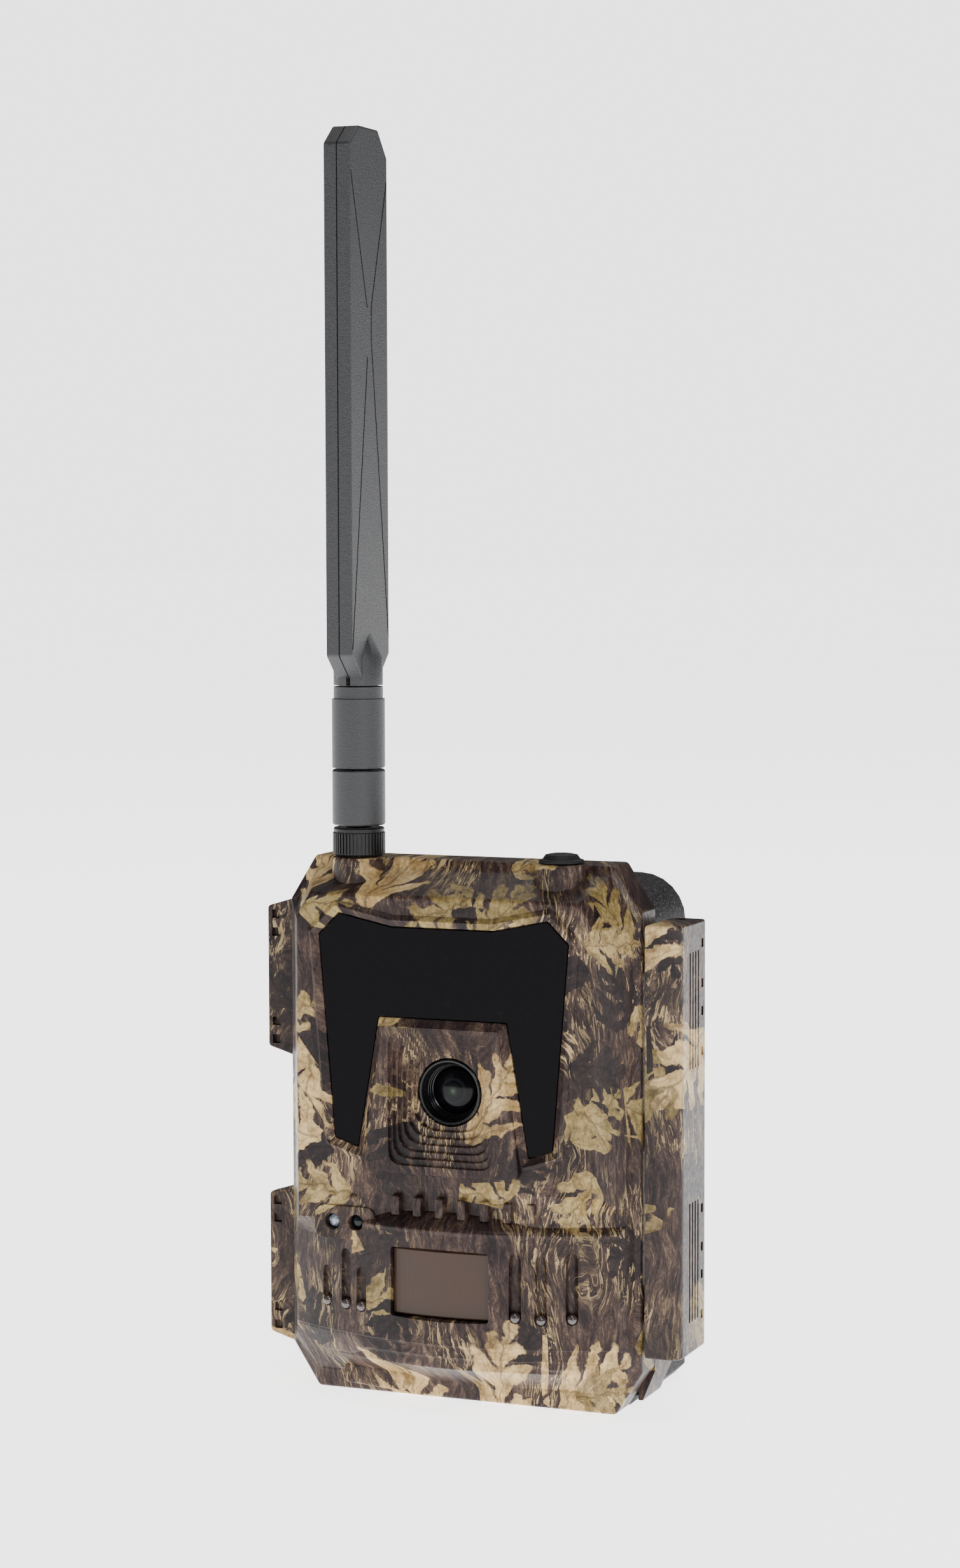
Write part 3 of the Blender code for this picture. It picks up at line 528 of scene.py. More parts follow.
# where a point of an outline goes when the outline is stacked along an axis
PLACES = {"X": lambda a, b, depth: (depth, a, b), "Y": lambda a, b, depth: (a, depth, b),
          "Z": lambda a, b, depth: (a, b, depth)}


def loft(rows, axis="Y"):
    """Skin a stack of rows that all have as many points; both ends are capped."""
    builder = bmesh.new()
    rings = [[builder.verts.new(Vector(PLACES[axis](*point)) * MM) for point in row]
             for row in rows]
    count = len(rings[0])
    for low, high in zip(rings, rings[1:]):
        for i in range(count):
            j = (i + 1) % count
            builder.faces.new((low[i], low[j], high[j], high[i]))
    builder.faces.new(rings[0])
    builder.faces.new(rings[-1])
    bmesh.ops.recalc_face_normals(builder, faces=builder.faces)
    return builder


def slab(outline, start, end, axis="Y", edge=0.0, corner=0.0):
    """A plate of an outline, with its corners rounded by corner and its rims by edge."""
    rows = [level(outline, start, 0.0, corner), level(outline, end, 0.0, corner)]
    if edge:
        rows = round_stack([level(outline, start, edge * 1.6, corner)] + rows
                           + [level(outline, end, edge * 1.6, corner)], edge)
    return loft(rows, axis)


def brick(low, high):
    """A box between two corners."""
    builder = bmesh.new()
    bmesh.ops.create_cube(builder, size=1.0)
    low, high = Vector(low) * MM, Vector(high) * MM
    bmesh.ops.scale(builder, vec=high - low, verts=builder.verts)
    bmesh.ops.translate(builder, vec=(low + high) / 2, verts=builder.verts)
    return builder


def lathe(profile, centre, axis="Z", sides=48):
    """Turn a closed (radius, height) half section; points on the axis merge to a pole."""
    builder = bmesh.new()
    rows = []
    for i in range(sides):
        turn = math.tau * i / sides
        ring = [PLACES[axis](r * math.cos(turn), r * math.sin(turn), h) for r, h in profile]
        rows.append([builder.verts.new((Vector(point) + Vector(centre)) * MM) for point in ring])
    for i, here in enumerate(rows):
        after = rows[(i + 1) % sides]
        for j in range(len(profile)):
            k = (j + 1) % len(profile)
            if profile[j][0] > 1e-6 or profile[k][0] > 1e-6:
                builder.faces.new((here[j], here[k], after[k], after[j]))
    bmesh.ops.remove_doubles(builder, verts=builder.verts, dist=1e-7)
    bmesh.ops.recalc_face_normals(builder, faces=builder.faces)
    return builder


def rod(centre, radius, length, axis="Z", edge=0.0, sides=32):
    half = length / 2
    profile = [(0, -half), (radius - edge, -half), (radius, -half + edge), (radius, half - edge),
               (radius - edge, half), (0, half)]
    if not edge:
        profile = [(0, -half), (radius, -half), (radius, half), (0, half)]
    return lathe(profile, centre, axis, sides)


def loose(name, builder):
    """An object with a shell for its mesh, not yet part of the model."""
    mesh = bpy.data.meshes.new(name)
    builder.to_mesh(mesh)
    builder.free()
    made = bpy.data.objects.new(name, mesh)
    bpy.context.scene.collection.objects.link(made)
    return made


def bake(piece):
    """Replace an object's mesh by its evaluated one and drop the modifiers."""
    shape = bpy.data.meshes.new_from_object(
        piece.evaluated_get(bpy.context.evaluated_depsgraph_get()))
    old = piece.data
    piece.modifiers.clear()
    piece.data = shape
    bpy.data.meshes.remove(old)
    return piece


def combine(piece, operation, builders):
    """Cut shells out of a piece, or weld them on, one after the other."""
    for builder in builders:
        tool = loose("tool", builder)
        step = piece.modifiers.new("combine", "BOOLEAN")
        step.operation = operation
        step.solver = "EXACT"
        step.object = tool
        bake(piece)
        bpy.data.objects.remove(tool)
    return piece


def cut(piece, *builders):
    return combine(piece, "DIFFERENCE", builders)


def weld(piece, *builders):
    return combine(piece, "UNION", builders)


def carved(builder, operation, *others):
    """Combine loose shells and hand the result back as one shell."""
    piece = combine(loose("blank", builder), operation, others)
    result = bmesh.new()
    result.from_mesh(piece.data)
    bpy.data.objects.remove(piece)
    return result


def bevel(piece, width):
    """Break the sharp edges of a finished shape."""
    step = piece.modifiers.new("edges", "BEVEL")
    step.width = width * MM
    step.segments = 2
    step.limit_method = "ANGLE"
    step.angle_limit = math.radians(35.0)
    step.use_clamp_overlap = True
    return bake(piece)


def fit(piece, finish, body, nodes=(), angle=32.0):
    """Give a piece its finish and shading, and tie it to the body that carries it."""
    piece.data.materials.clear()
    piece.data.materials.append(finish)
    piece.data.shade_smooth()
    piece.data.set_sharp_from_angle(angle=math.radians(angle))
    even = piece.modifiers.new("even_shading", "WEIGHTED_NORMAL")
    even.keep_sharp = True
    bake(piece)
    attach(piece, body)
    if nodes:
        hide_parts(*nodes)


def broken_edges(name, node, width, finish, body, cuts=()):
    """A copy of a moulded or machined part with its sharp edges rounded."""
    builder = bmesh.new()
    builder.from_mesh(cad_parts[node].data)
    bmesh.ops.remove_doubles(builder, verts=builder.verts, dist=1e-6)
    bmesh.ops.join_triangles(builder, faces=builder.faces, angle_face_threshold=math.radians(1.0),
                             angle_shape_threshold=math.radians(180.0))
    piece = cut(bevel(loose(name, builder), width), *cuts)
    fit(piece, finish, body, (node,))


# ---- repeated details, laid out by node trees ----
class Layout:
    """A Geometry Nodes tree built step by step; every size is one of its named inputs."""

    KINDS = {int: "NodeSocketInt", float: "NodeSocketFloat", tuple: "NodeSocketVector",
             bpy.types.Material: "NodeSocketMaterial"}

    def __init__(self, name, **sizes):
        self.name = name
        self.sizes = sizes
        self.tree = bpy.data.node_groups.new(name, "GeometryNodeTree")
        self.tree.interface.new_socket("Geometry", in_out="OUTPUT",
                                       socket_type="NodeSocketGeometry")
        for key, value in sizes.items():
            self.tree.interface.new_socket(key, in_out="INPUT",
                                           socket_type=self.KINDS[type(value)])
        self.start = self.tree.nodes.new("NodeGroupInput")

    def size(self, key):
        return self.start.outputs[key]

    def node(self, kind, settings=None, inputs=(), output=0):
        return add_node(self.tree, kind, settings, inputs).outputs[output]

    def product(self, first, second):
        return self.node("ShaderNodeMath", {"operation": "MULTIPLY"}, (first, second))

    def lay(self, geometry):
        """Realise the copies, give them their finish and return a plain mesh object."""
        copies = self.node("GeometryNodeRealizeInstances", None, (geometry,))
        painted = self.node("GeometryNodeSetMaterial", None,
                            {"Geometry": copies, "Material": self.size("Finish")})
        end = self.tree.nodes.new("NodeGroupOutput")
        self.tree.links.new(painted, end.inputs[0])
        host = loose(self.name, bmesh.new())
        step = host.modifiers.new("layout", "NODES")
        step.node_group = self.tree
        for item in self.tree.interface.items_tree:
            if item.in_out == "INPUT":
                step[item.identifier] = self.sizes[item.name]
        return bake(host)


def metres(*values):
    return tuple(value * MM for value in values)


def row_of_bars(name, count, start, step, size, finish, bulge=0.0):
    """Equal bars in a row; bulge bends the row back from its middle, as on a drum."""
    plan = Layout(name, Count=count, Start=metres(*start), Step=metres(*step),
                  Size=metres(*size), Bulge=bulge, Finish=finish)
    line = plan.node("GeometryNodeMeshLine", {"mode": "OFFSET"},
                     {"Count": plan.size("Count"), "Start Location": plan.size("Start"),
                      "Offset": plan.size("Step")})
    place = plan.node("GeometryNodeInputPosition")
    across = plan.node("ShaderNodeSeparateXYZ", None, (place,))
    back = plan.product(plan.product(across, across), plan.size("Bulge"))
    shift = plan.node("ShaderNodeCombineXYZ", None, {"Y": back})
    bent = plan.node("GeometryNodeSetPosition", None, {"Geometry": line, "Offset": shift})
    bar = plan.node("GeometryNodeMeshCube", None, {"Size": plan.size("Size")})
    return plan.lay(plan.node("GeometryNodeInstanceOnPoints", None,
                              {"Points": bent, "Instance": bar}))


def ring_of_ridges(name, count, centre, radius, size, finish):
    """Grip ridges standing round an upright cylinder."""
    plan = Layout(name, Count=count, Centre=metres(*centre), Radius=radius * MM,
                  Size=metres(*size), Finish=finish)
    circle = plan.node("GeometryNodeMeshCircle", None,
                       {"Vertices": plan.size("Count"), "Radius": plan.size("Radius")})
    index = plan.node("GeometryNodeInputIndex")
    turn = plan.product(index, math.tau / count)
    spin = plan.node("ShaderNodeCombineXYZ", None, {"Z": turn})
    ridge = plan.node("GeometryNodeMeshCube", None, {"Size": plan.size("Size")})
    standing = plan.node("GeometryNodeInstanceOnPoints", None,
                         {"Points": circle, "Instance": ridge, "Rotation": spin})
    moved = plan.node("GeometryNodeTransform", None,
                      {"Geometry": standing, "Translation": plan.size("Centre")})
    return plan.lay(moved)


def studs(name, places, radius, squash, finish):
    """Round-headed studs pressed half into a surface, one at each place."""
    plan = Layout(name, Radius=radius * MM, Flatness=squash, Finish=finish)
    points = bpy.data.meshes.new(f"{name}_places")
    points.from_pydata([metres(*place) for place in places], [], [])
    holder = bpy.data.objects.new(f"{name}_places", points)
    bpy.context.scene.collection.objects.link(holder)
    found = plan.node("GeometryNodeObjectInfo", None, {"Object": holder}, 4)
    head = plan.node("GeometryNodeMeshUVSphere", None,
                     {"Segments": 18, "Rings": 10, "Radius": plan.size("Radius")})
    flat = plan.node("ShaderNodeCombineXYZ", None, (1.0, plan.size("Flatness"), 1.0))
    made = plan.lay(plan.node("GeometryNodeInstanceOnPoints", None,
                              {"Points": found, "Instance": head, "Scale": flat}))
    bpy.data.objects.remove(holder)
    return made


# ---- where things are, read from the frame ----
COVER_LOW, COVER_HIGH = node_box("front_cover")
PANEL_LOW, PANEL_HIGH = node_box("inner_panel")
WINDOW_LOW, WINDOW_HIGH = node_box("infrared_window")
SENSOR_LOW, SENSOR_HIGH = node_box("pir_window")
LATCH_LOW, LATCH_HIGH = node_box("latch_cover")
NUT_LOW, NUT_HIGH = node_box("antenna_nut")
PLUG_LOW, PLUG_HIGH = node_box("port_plug")
PADDLE_LOW, PADDLE_HIGH = node_box("paddle_right_shell")

FACE = WINDOW_LOW[1] - 0.2                 # flat front plane
LIP = FACE + 13.4                          # bend between the side wall and the sloping front
RIM = FACE + 15.0                          # front end of the side wall
COVER_BACK = PANEL_HIGH[1] + 1.7
HALF, TOP, BOTTOM = COVER_HIGH[0], COVER_HIGH[2] - 0.3, COVER_LOW[2]
WALL = 2.4
DRUM_FRONT, DRUM_RADIUS = COVER_LOW[1], 90.0   # the lower front is part of a drum
LENS_Z = middle("lens_barrel")[2]
RING_Y = node_box("lens_barrel")[0][1] + 1.0
BOSS_X, BOSS_Y, _ = middle("port_plug")
BOSS_R = 7.3
HINGE_X, HINGE_Y, _ = middle("hinge_pin_upper")
TAB_SPANS = ((91.0, 136.0), (10.8, 56.0))
EYE_PLACES = ((-32.0, 50.3), (-25.2, 50.3))


def drum(x, deeper=0.0):
    """Front surface of the bulging lower front at x."""
    return DRUM_FRONT + x * x / (2 * DRUM_RADIUS) + deeper


# the infrared window, shaped like a wide arch whose notch takes the lens bezel
ARCH = mirrored([(18.5, 106.8), (24.6, 71.2), (31.2, 73.4), (35.7, 128.2), (29.9, 134.0),
                 (14.6, 130.8)])


def plan_row(height, front):
    """The space in front of a surface, as one row of an upright cutter."""
    half, far = 54.0, -62.0
    return [(x, front(x), height) for x in spread(half, 36)] + [(half, far, height),
                                                                (-half, far, height)]


def drum_row(height, deeper):
    """A slice of the drum, which stops just behind the lip."""
    half = 50.0
    front = [(x, min(drum(x, deeper), LIP + 0.8), height) for x in spread(half, 32)]
    return front + [(half, LIP + 2.0, height), (-half, LIP + 2.0, height)]


def front_shell():
    """Rim, lip and sloping front in one stack, with soft bends between them."""
    rim = octagon(HALF, 43.4, 43.4, BOTTOM, TOP, 12.2, 11.8)
    lip = octagon(49.4, 42.5, 42.0, 6.0, 145.2, 12.0, 8.0)
    face = octagon(42.5, 38.3, 38.3, 17.0, 139.2, 6.9, 6.0)
    rows = [level(rim, COVER_BACK, 0, 1.6), level(rim, RIM, 0, 1.6), level(lip, LIP, 0, 1.6),
            level(face, FACE, 0, 1.6), level(face, FACE, 3.0, 1.6)]
    return loft(round_stack(rows, 0.9, 3))


def channel_cutter():
    """Trims the front to the drum below and cuts the sloping channel above it."""
    flush = FACE - 0.02

    def upper(x):
        channel = max(drum(x, 2.2), FACE + 1.7)
        ease = min(1.0, max(0.0, (x + 21.0) / 5.0))
        return flush + (channel - flush) * ease * ease * (3 - 2 * ease)

    def lower(x):
        return max(FACE + 0.02 if x < -16.0 else upper(x), drum(x, 0.6))

    fronts = ((61.8, lambda _: flush), (60.9, lambda x: upper(x) * 0.35 + flush * 0.65),
              (56.0, upper), (51.0, upper), (45.0, lower), (19.0, lower),
              (14.0, lambda x: drum(x, 3.0)), (6.2, lambda x: min(drum(x, 13.4), LIP - 0.02)),
              (-1.0, lambda _: LIP - 0.02))
    return loft([plan_row(height, front) for height, front in fronts], "Z")


def drum_front():
    """The bulging lower front, stepping back twice towards the bottom edge."""
    rows = [drum_row(z, d) for z, d in ((5.6, 17.2), (12.6, 4.2), (15.4, 3.5), (16.2, 2.0),
                                        (18.8, 1.8), (19.8, 0.2), (49.6, 0.25), (50.2, 0.0),
                                        (50.8, 0.0), (51.4, 0.7), (55.2, 6.4))]
    back = mirrored([(42.6, 2.0), (51.0, 16.7), (51.0, 62.0)])
    front = mirrored([(24.0, 2.0), (39.1, 26.8), (39.1, 62.0)])
    slopes = loft([level(back, LIP + 3.0), level(front, LIP - 20.0)])
    return carved(loft(round_stack(rows, 0.25, 2), "Z"), "INTERSECT", slopes)


def hinge_tab(low, high):
    outline = [(COVER_LOW[0], low + 3.0), (-HALF + 1.5, low), (-HALF + 1.5, high),
               (COVER_LOW[0], high - 3.0)]
    return slab(outline, COVER_BACK - 7.4, COVER_BACK - 3.7, edge=0.5, corner=1.2)


def cover_additions():
    """Drum, window frame, bezel, eye plate, pad, bosses and hinge tabs."""
    frame_rows = ((1.0, -3.4), (-0.2, -3.4), (-1.4, -1.9), (-1.4, -1.2))
    window_frame = [level(ARCH, FACE + depth, inset, 1.6) for depth, inset in frame_rows]
    bezel = mirrored([(22.6, 64.8), (17.6, 106.4)])
    eyes = box_outline(-37.4, -19.6, 45.6, 54.8)
    pad = [(-15.0, 2.2), (-15.6, 8.0), (-34.0, 9.0), (-34.6, 3.4)]
    parts = [drum_front(), loft(round_stack(window_frame, 0.5, 2)),
             slab(bezel, FACE + 1.0, FACE - 1.75, edge=0.7, corner=3.0),
             slab(eyes, FACE + 3.0, FACE - 0.55, edge=0.5, corner=3.0),
             slab(pad, LIP + 3.0, LIP - 3.0, edge=1.3, corner=2.2)]
    boss = [(0, 128.0), (BOSS_R, 128.0), (BOSS_R, TOP - 0.5), (BOSS_R - 0.25, TOP + 0.1),
            (BOSS_R - 0.8, TOP + 0.3), (0, TOP + 0.3)]
    for side in (-1, 1):
        parts.append(lathe(boss, (side * BOSS_X, BOSS_Y, 0.0), sides=56))
    for low, high in TAB_SPANS:
        parts.append(hinge_tab(low, high))
        for start in (low + 4.0, high - 14.0):
            centre = (HINGE_X, HINGE_Y, start + 5.0)
            parts.append(rod(centre, 3.4, 10.0, edge=0.4, sides=28))
            parts.append(brick((HINGE_X - 3.3, COVER_BACK - 4.2, start + 0.07),
                               (HINGE_X + 3.3, HINGE_Y, start + 9.93)))
    return parts


def cover_hollows():
    rim = octagon(HALF - WALL, 42.0, 42.0, BOTTOM + WALL, 139.5, 12.2, 11.8)
    lip = octagon(47.0, 41.0, 40.4, 9.4, 139.5, 11.0, 8.0)
    room = mirrored([(38.0, 66.0), (38.0, 131.0), (34.0, 135.0)])
    return [loft([level(rim, COVER_BACK + 1.0), level(rim, RIM + 1.0), level(lip, LIP + 1.0)]),
            slab(room, LIP + 3.0, FACE + 3.0)]


def terraces():
    """Stepped well from the bezel down to the lens."""
    outer = (-15.0, 15.0, 67.2, 103.0)
    inner = (-9.9, 9.9, LENS_Z - 10.4, LENS_Z + 10.0)
    steps = 6
    front, floor = FACE - 1.75, RING_Y - 0.9
    rows = [level(box_outline(*outer), FACE - 2.2, 0, 4.0)]
    for step in range(steps):
        t = step / (steps - 1)
        outline = box_outline(*(a + (b - a) * t for a, b in zip(outer, inner)))
        for edge in (step, step + 1):
            if edge:
                depth = front + (floor - front) * edge / steps
                rows.append(level(outline, depth, 0, 4.0 + 3.0 * t))
    return loft(round_stack(rows, 0.22, 1))


def groove(x, low, high):
    """Upright round-ended groove that runs down to a ball."""
    y = drum(x) + 0.45
    profile = [(0, low - 1.7), (1.2, low - 1.2), (1.7, low), (1.6, high - 1.6), (1.15, high - 0.5),
               (0, high)]
    return lathe(profile, (x, y, 0.0), sides=20)


GROOVES = ((21.1, 28.4, 45.6), (27.7, 27.9, 45.2), (35.5, 28.2, 46.0), (-35.2, 27.7, 37.5),
           (-28.6, 27.7, 43.0), (-23.5, 27.7, 38.5))


def cover_openings():
    rings = ((-2.5, -2.6), (-2.3, -1.45), (-0.3, 0.1), (-0.3, 1.5), (1.6, 1.5), (1.6, 4.0))
    half = SENSOR_HIGH[0] + 0.3
    recess = box_outline(-half, half, SENSOR_LOW[2] - 0.3, SENSOR_HIGH[2] + 0.3)
    parts = [loft([level(ARCH, FACE + depth, inset, 0.6) for inset, depth in rings]), terraces(),
             rod((0.0, FACE + 6.0, LENS_Z), 9.3, 24.0, "Y", sides=56),
             loft([level(recess, DRUM_FRONT - 0.8, -0.9, 1.0),
                   level(recess, DRUM_FRONT + 1.1, -0.1, 1.0), level(recess, LIP + 3.0, 0.0, 1.0)])]
    for x, z in EYE_PLACES:
        parts.append(lathe([(0, -4.0), (2.7, -4.0), (2.1, 0.3), (2.1, 9.0), (0, 9.0)],
                           (x, FACE, z), "Y", 28))
    for side in (-1, 1):
        parts.append(rod((side * BOSS_X, BOSS_Y, 142.0), 3.6, 20.0, sides=32))
    for low, high in TAB_SPANS:
        parts.append(rod((HINGE_X, HINGE_Y, (low + high) / 2), 1.5, high - low - 5.0, sides=20))
        for z in (low + 5.0, low + 10.0, high - 10.2, high - 5.2):
            parts.append(brick((-58.2, COVER_BACK - 8.4, z - 1.2),
                               (-55.9, COVER_BACK - 6.2, z + 1.2)))
    parts += [groove(*place) for place in GROOVES]
    dish = [(38.5, 3.4), (34.0, 6.6), (17.5, 6.0), (19.5, 1.6)]
    parts.append(slab(dish, LIP - 3.0, LIP + 0.6, corner=1.6))
    return parts


def build_cover():
    cover = cut(loose("moulded_cover", front_shell()), channel_cutter())
    weld(cover, *cover_additions())
    cut(cover, *cover_hollows())
    tower = slab(box_outline(-17.2, 17.2, 65.0, 106.6), FACE + 1.0, RING_Y + 2.4, corner=4.0)
    sensor_box = brick((-16.4, FACE + 1.5, 24.0), (16.4, LIP + 2.0, 48.0))
    weld(cover, tower, sensor_box)
    cut(cover, *cover_openings())
    fit(cover, CAMO, "door", ("front_cover",))


def build_cover_details():
    ribs = row_of_bars("channel_ribs", 7, (-13.6, FACE + 0.6, 56.0), (6.4, 0.0, 0.0),
                       (2.5, 3.4, 5.4), CAMO, 1.0 / (2 * DRUM_RADIUS * MM) * 0.45)
    fit(bevel(ribs, 0.55), CAMO, "door")
    balls = studs("groove_balls", [(x, drum(x) + 0.55, low) for x, low, _ in GROOVES], 1.42,
                  1.0, BALL_GLOSS)
    fit(balls, BALL_GLOSS, "door")
    pegs = studs("eye_pegs", [(-32.4, FACE + 0.1, 57.2), (-26.0, FACE + 0.1, 57.0)], 1.25, 0.7,
                 CAMO)
    fit(pegs, CAMO, "door")


def build_cover_windows():
    glass = slab(ARCH, WINDOW_LOW[1], WINDOW_HIGH[1], edge=0.2, corner=0.6)
    fit(loose("infrared_glass", glass), FILTER, "door", ("infrared_window",))
    half, rows = SENSOR_HIGH[0], []
    for z, inset in ((SENSOR_LOW[2], 0.3), (SENSOR_LOW[2] + 0.4, 0.0),
                     (SENSOR_HIGH[2] - 0.4, 0.0), (SENSOR_HIGH[2], 0.3)):
        xs = spread(half, 20)
        rows.append([(x, drum(x, 1.9 + inset), z) for x in xs]
                    + [(x, drum(x, 3.1), z) for x in reversed(xs)])
    fit(loose("heat_sensor_film", loft(rows, "Z")), FILM, "door", ("pir_window",))
    for node, finish, slot, (x, z) in zip(("status_window", "light_sensor_window"),
                                          (WINDOW, SCREEN), ("clear_window", "screen"),
                                          EYE_PLACES):
        front = node_box(node)[0][1]
        profile = [(0, 1.9), (1.85, 1.9), (1.85, 0.7), (1.5, 0.35), (0.9, 0.08), (0, 0.0)]
        made = loose(f"{node}_dome", lathe(profile, (x, front - 0.3, z), "Y", 28))
        fit(made, finish, "door", (node,), 60.0)


def build_lens():
    rings = [(9.0, 9.0), (9.0, -0.5), (8.9, -0.8), (8.6, -1.0), (8.2, -0.95), (8.0, -0.7),
             (7.95, -0.2), (7.7, 0.3), (7.5, 0.7), (7.3, 1.6), (7.15, 1.7), (7.0, 2.3),
             (6.85, 2.4), (6.75, 3.2), (6.5, 3.4), (6.5, 9.0)]
    barrel = loose("lens_rings", lathe(rings, (0.0, RING_Y, LENS_Z), "Y", 64))
    fit(barrel, LENS_BLACK, "door", ("lens_barrel",), 24.0)
    dome = [(0, 7.4), (6.3, 7.4), (6.3, 3.6), (5.9, 3.2), (5.0, 2.6), (3.9, 2.15), (2.6, 1.8),
            (1.3, 1.6), (0, 1.55)]
    glass = loose("lens_front_element", lathe(dome, (0.0, RING_Y, LENS_Z), "Y", 48))
    fit(glass, GLASS, "door", ("lens_glass",), 50.0)


def build_latch():
    axis_x, axis_y = middle("latch_pin")[0], -13.5
    x0, x1, front, back = LATCH_LOW[0], LATCH_HIGH[0], LATCH_LOW[1], -10.0
    knuckle = arc((axis_x, axis_y), 3.9, range(100, 181, 10))
    corner = arc((x1 - 3.0, front + 3.0), 3.0, range(-90, 1, 15))
    outline = [(x0, front)] + corner + [(x1, back)] + knuckle
    low, high = LATCH_LOW[2], LATCH_HIGH[2]
    shell = loose("latch_shell", slab(outline, low, high, "Z", 0.9))
    cut(shell, brick((x0 - 3.0, front + 2.2, low + 2.2), (x1 - 2.2, back + 3.0, high - 2.2)),
        rod((axis_x, axis_y, 74.5), 1.5, 130.0, sides=20))
    slots = [brick((x1 - 4, front + 7.6 + 2.3 * i, z0), (x1 + 1, front + 8.6 + 2.3 * i, z1))
             for i in range(4) for z0, z1 in ((25.2, 57.4), (93.4, 124.6))]
    eyes = [brick((x1 - 4, front + 17.6, z - 1.2), (x1 + 1, front + 19.2, z + 1.2))
            for z in (25.6, 36.5, 44.0, 54.5, 97.1, 107.9, 115.4, 126.2)]
    cut(shell, *slots, *eyes)
    fit(shell, LATCH_CAMO, "latch", ("latch_cover",))


def build_antenna():
    x, y = -BOSS_X, BOSS_Y
    low, high = NUT_LOW[2], NUT_HIGH[2]
    rings = [(3.5, low), (6.2, low), (6.75, low + 0.5), (6.75, high - 1.3), (6.9, high - 1.1),
             (6.9, high - 0.3), (6.6, high), (3.5, high)]
    fit(loose("nut_core", lathe(rings, (x, y, 0.0), sides=60)), SMOOTH_BLACK, "nut",
        ("antenna_nut",))
    grip = ring_of_ridges("nut_grip", 44, (x, y, (low + high) / 2 - 0.4), 6.82, (0.6, 0.5, 5.6),
                          SMOOTH_BLACK)
    fit(grip, SMOOTH_BLACK, "nut")
    broken_edges("swivel_base", "antenna_base", 0.55, ANTENNA, "antenna_foot")
    broken_edges("fold_yoke", "antenna_yoke", 0.45, ANTENNA, "antenna_blade")
    build_paddle(x, y)


def paddle_outline(y):
    half, low, high = (PADDLE_HIGH[1] - PADDLE_LOW[1]) / 2, PADDLE_LOW[2] + 1.2, PADDLE_HIGH[2]
    return [(y - 5.0, low), (y + 5.0, low), (y + half, low + 7.0), (y + half, high - 7.0),
            (y + half - 6.0, high), (y - half + 6.0, high), (y - half, high - 5.0),
            (y - half, low + 7.0)]


def build_paddle(x, y):
    lines = (((-11.6, 331.0), (-1.6, 296.5)), ((-1.6, 296.5), (-0.9, 295.6)),
             ((11.8, 330.0), (1.4, 296.0)), ((1.4, 296.0), (1.2, 288.0)),
             ((-1.2, 282.6), (-11.9, 204.5)), ((1.2, 288.0), (11.9, 207.0)))
    for side, name in ((-1, "left"), (1, "right")):
        outline = paddle_outline(y)
        rows = [level(outline, x + side * depth, inset, 1.3)
                for depth, inset in ((0.15, 0.0), (3.8, 0.0), (3.8, 0.9))]
        shell = loose(f"paddle_{name}_half", loft(round_stack(rows, 0.35, 2), "X"))
        cone = [(0, 194.7), (6.7, 194.7), (6.7, 202.0), (0.8, 216.0), (0, 216.0)]
        near, far = sorted((x + side * 0.6, x + side * 12.0))
        half_space = brick((near, y - 20, 190.0), (far, y + 20, 220.0))
        weld(shell, carved(lathe(cone, (x, y, 0.0), sides=40), "INTERSECT", half_space))
        grooves = []
        for (y0, z0), (y1, z1) in lines:
            away = Vector((y1 - y0, z1 - z0)).normalized()
            wide = Vector((-away.y, away.x)) * 0.28
            strip = [(y + y0 + wide.x, z0 + wide.y), (y + y1 + wide.x, z1 + wide.y),
                     (y + y1 - wide.x, z1 - wide.y), (y + y0 - wide.x, z0 - wide.y)]
            grooves.append(slab(strip, x + side * 3.3, x + side * 5.0, "X"))
        cut(shell, *grooves)
        fit(shell, ANTENNA, "antenna_blade", (f"paddle_{name}_shell",))


def build_plug():
    low, high = PLUG_LOW[2], PLUG_HIGH[2]
    profile = [(0, low), (3.2, low), (3.2, TOP + 0.6), (6.0, TOP + 0.6), (6.1, TOP + 1.0),
               (5.8, TOP + 1.35), (5.1, TOP + 1.5), (4.9, TOP + 1.8), (4.3, high - 0.35),
               (3.0, high - 0.08), (0, high)]
    fit(loose("weather_plug", lathe(profile, (BOSS_X, BOSS_Y, 0.0), sides=56)), RUBBER, "plug",
        ("port_plug",), 30.0)


def build_rest():
    for name, node, width, finish, body, slot in (
            ("moulded_case", "rear_case", 0.8, CASE, "case", "speckled_case"),
            ("tree_bracket", "strap_bracket", 0.9, CASE, "case", "speckled_case"),
            ("hinge_side_rail", "hinge_rail", 0.5, CAMO, "case", "camo_shell"),
            ("latch_side_rail", "latch_rail", 0.5, CAMO, "case", "camo_shell"),
            ("cell_tray", "battery_tray", 0.4, TRAY, "case", "black_plastic")):
        broken_edges(name, node, width, finish, body)


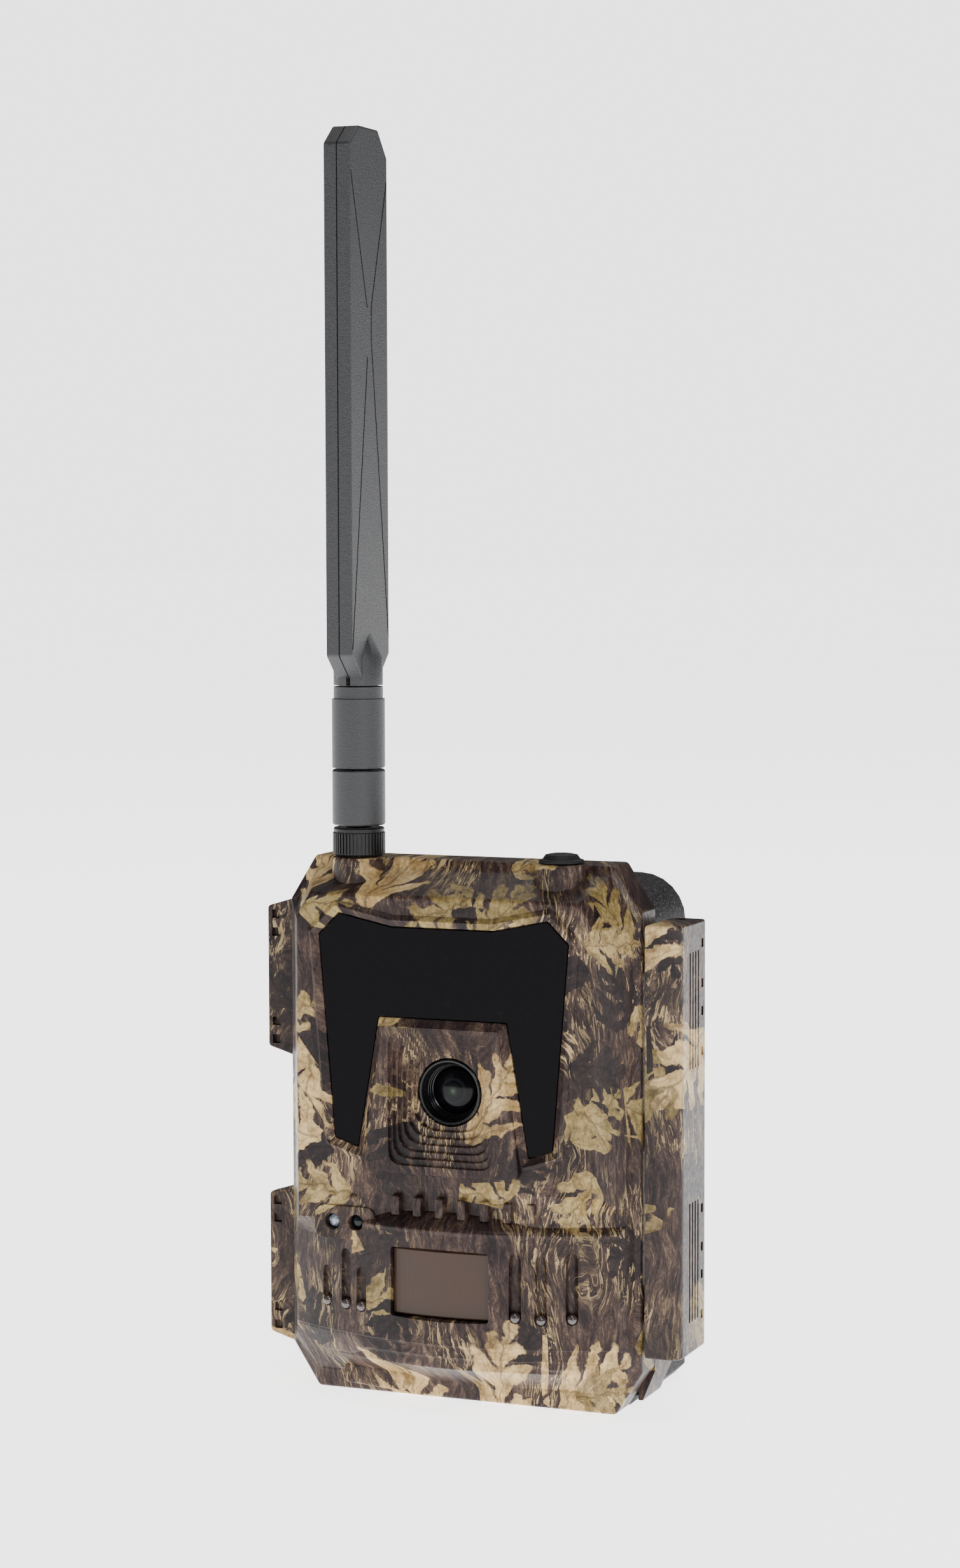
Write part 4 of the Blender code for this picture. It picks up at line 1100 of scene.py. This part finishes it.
def build_door_inside():
    """The panel with a trench round each key, a raised frame round the screen, and screws."""
    back = PANEL_HIGH[1]
    trench = [(3.7, -0.6), (4.7, -0.6), (4.7, 1.0), (3.7, 1.0)]
    trenches = []
    for x, _, z in map(middle, KEY_NODES):
        trenches.append(lathe(trench, (x, back, z), "Y", 32))
    border = octagon(PANEL_HIGH[0] - 5.0, 38.0, 38.0, PANEL_LOW[2] + 5.0, PANEL_HIGH[2] - 5.0,
                     9.0, 9.0)
    ring = carved(slab(border, back - 0.5, back + 1.0), "DIFFERENCE",
                  slab(shrink(border, 0.9), back - 1.0, back + 2.0))
    broken_edges("door_panel", "inner_panel", 0.3, BLACK, "door",
                 trenches + [ring])
    low, high = node_box("screen")
    outer = box_outline(low[0] - 2.6, high[0] + 2.6, low[2] - 2.6, high[2] + 2.6)
    inner = box_outline(low[0] + 0.8, high[0] - 0.8, low[2] + 0.8, high[2] - 0.8)
    frame_ring = cut(loose("screen_frame", slab(outer, back - 0.3, back + 0.6, "Y", 0.3, 2.6)),
                     slab(inner, back - 1.0, back + 2.0, corner=1.0))
    fit(frame_ring, LENS_BLACK, "door")
    screws = studs("panel_screws", [(x, back, z) for x in (-34.0, 34.0) for z in (18.0, 128.0)],
                   1.9, 0.35, STEEL)
    fit(screws, STEEL, "door")


build_cover()
build_cover_details()
build_cover_windows()
build_lens()
build_latch()
build_antenna()
build_plug()
build_rest()
build_door_inside()


# ---- studio; its sizes are in metres ----
FLOOR_RADIUS = 40.0
AIR_SEEN, AIR_FELT = 2.82, 0.12            # brightness of the air to the camera and to the part
LAMPS = (("key_lamp", (1.5, -1.5, 1.3), 0.6, 17.0), ("fill_lamp", (-1.7, -1.6, 1.1), 1.6, 3.5),
         ("top_lamp", (0.1, -0.4, 2.1), 0.8, 12.0), ("back_lamp", (0.0, 1.0, 1.8), 1.6, 14.0))


def build_floor():
    """A pale disc that runs into the pale air far behind the part."""
    builder = bmesh.new()
    builder.faces.new([builder.verts.new((x, y, 0.0))
                       for x, y in arc((0.0, 0.0), FLOOR_RADIUS, range(0, 360, 5))])
    floor = loose("studio_floor", builder)
    floor.data.shade_smooth()
    f = Finish("studio_paper", roughness=0.9, emission_strength=3.0, specular_ior_level=0.0)
    mottle = f.noise(f.place, scale=3.0, detail=2.0)
    paper = f.mix(mottle, (0.93, 0.93, 0.93), (0.95, 0.95, 0.95))
    f.drive(base_color=paper, emission_color=paper)
    floor.data.materials.append(f.material)


def hang_lamp(name, place, size, power):
    """A soft square lamp aimed at the middle of the part."""
    data = bpy.data.lights.new(name, "AREA")
    data.size = size
    data.energy = power
    lamp = bpy.data.objects.new(name, data)
    aim = Vector((0.0, 0.0, 0.12)) - Vector(place)
    facing = aim.to_track_quat("-Z", "Y").to_matrix().to_4x4()
    lamp.matrix_world = Matrix.Translation(place) @ facing
    bpy.context.scene.collection.objects.link(lamp)


def build_air():
    """Air that looks pale to the camera but lights the part only dimly."""
    world = bpy.data.worlds.new("studio_air")
    world.use_nodes = True
    tree = world.node_tree
    felt = tree.nodes["Background"]
    felt.inputs["Color"].default_value = (1.0, 1.0, 1.0, 1.0)
    felt.inputs["Strength"].default_value = AIR_FELT
    seen = add_node(tree, "ShaderNodeBackground", None,
                    {"Color": (1.0, 1.0, 1.0, 1.0), "Strength": AIR_SEEN})
    ray = add_node(tree, "ShaderNodeLightPath", None, {})
    either = add_node(tree, "ShaderNodeMixShader", None,
                      (ray.outputs["Is Camera Ray"], felt.outputs[0], seen.outputs[0]))
    tree.links.new(either.outputs["Shader"], tree.nodes["World Output"].inputs["Surface"])
    bpy.context.scene.world = world


build_floor()
for lamp in LAMPS:
    hang_lamp(*lamp)
build_air()
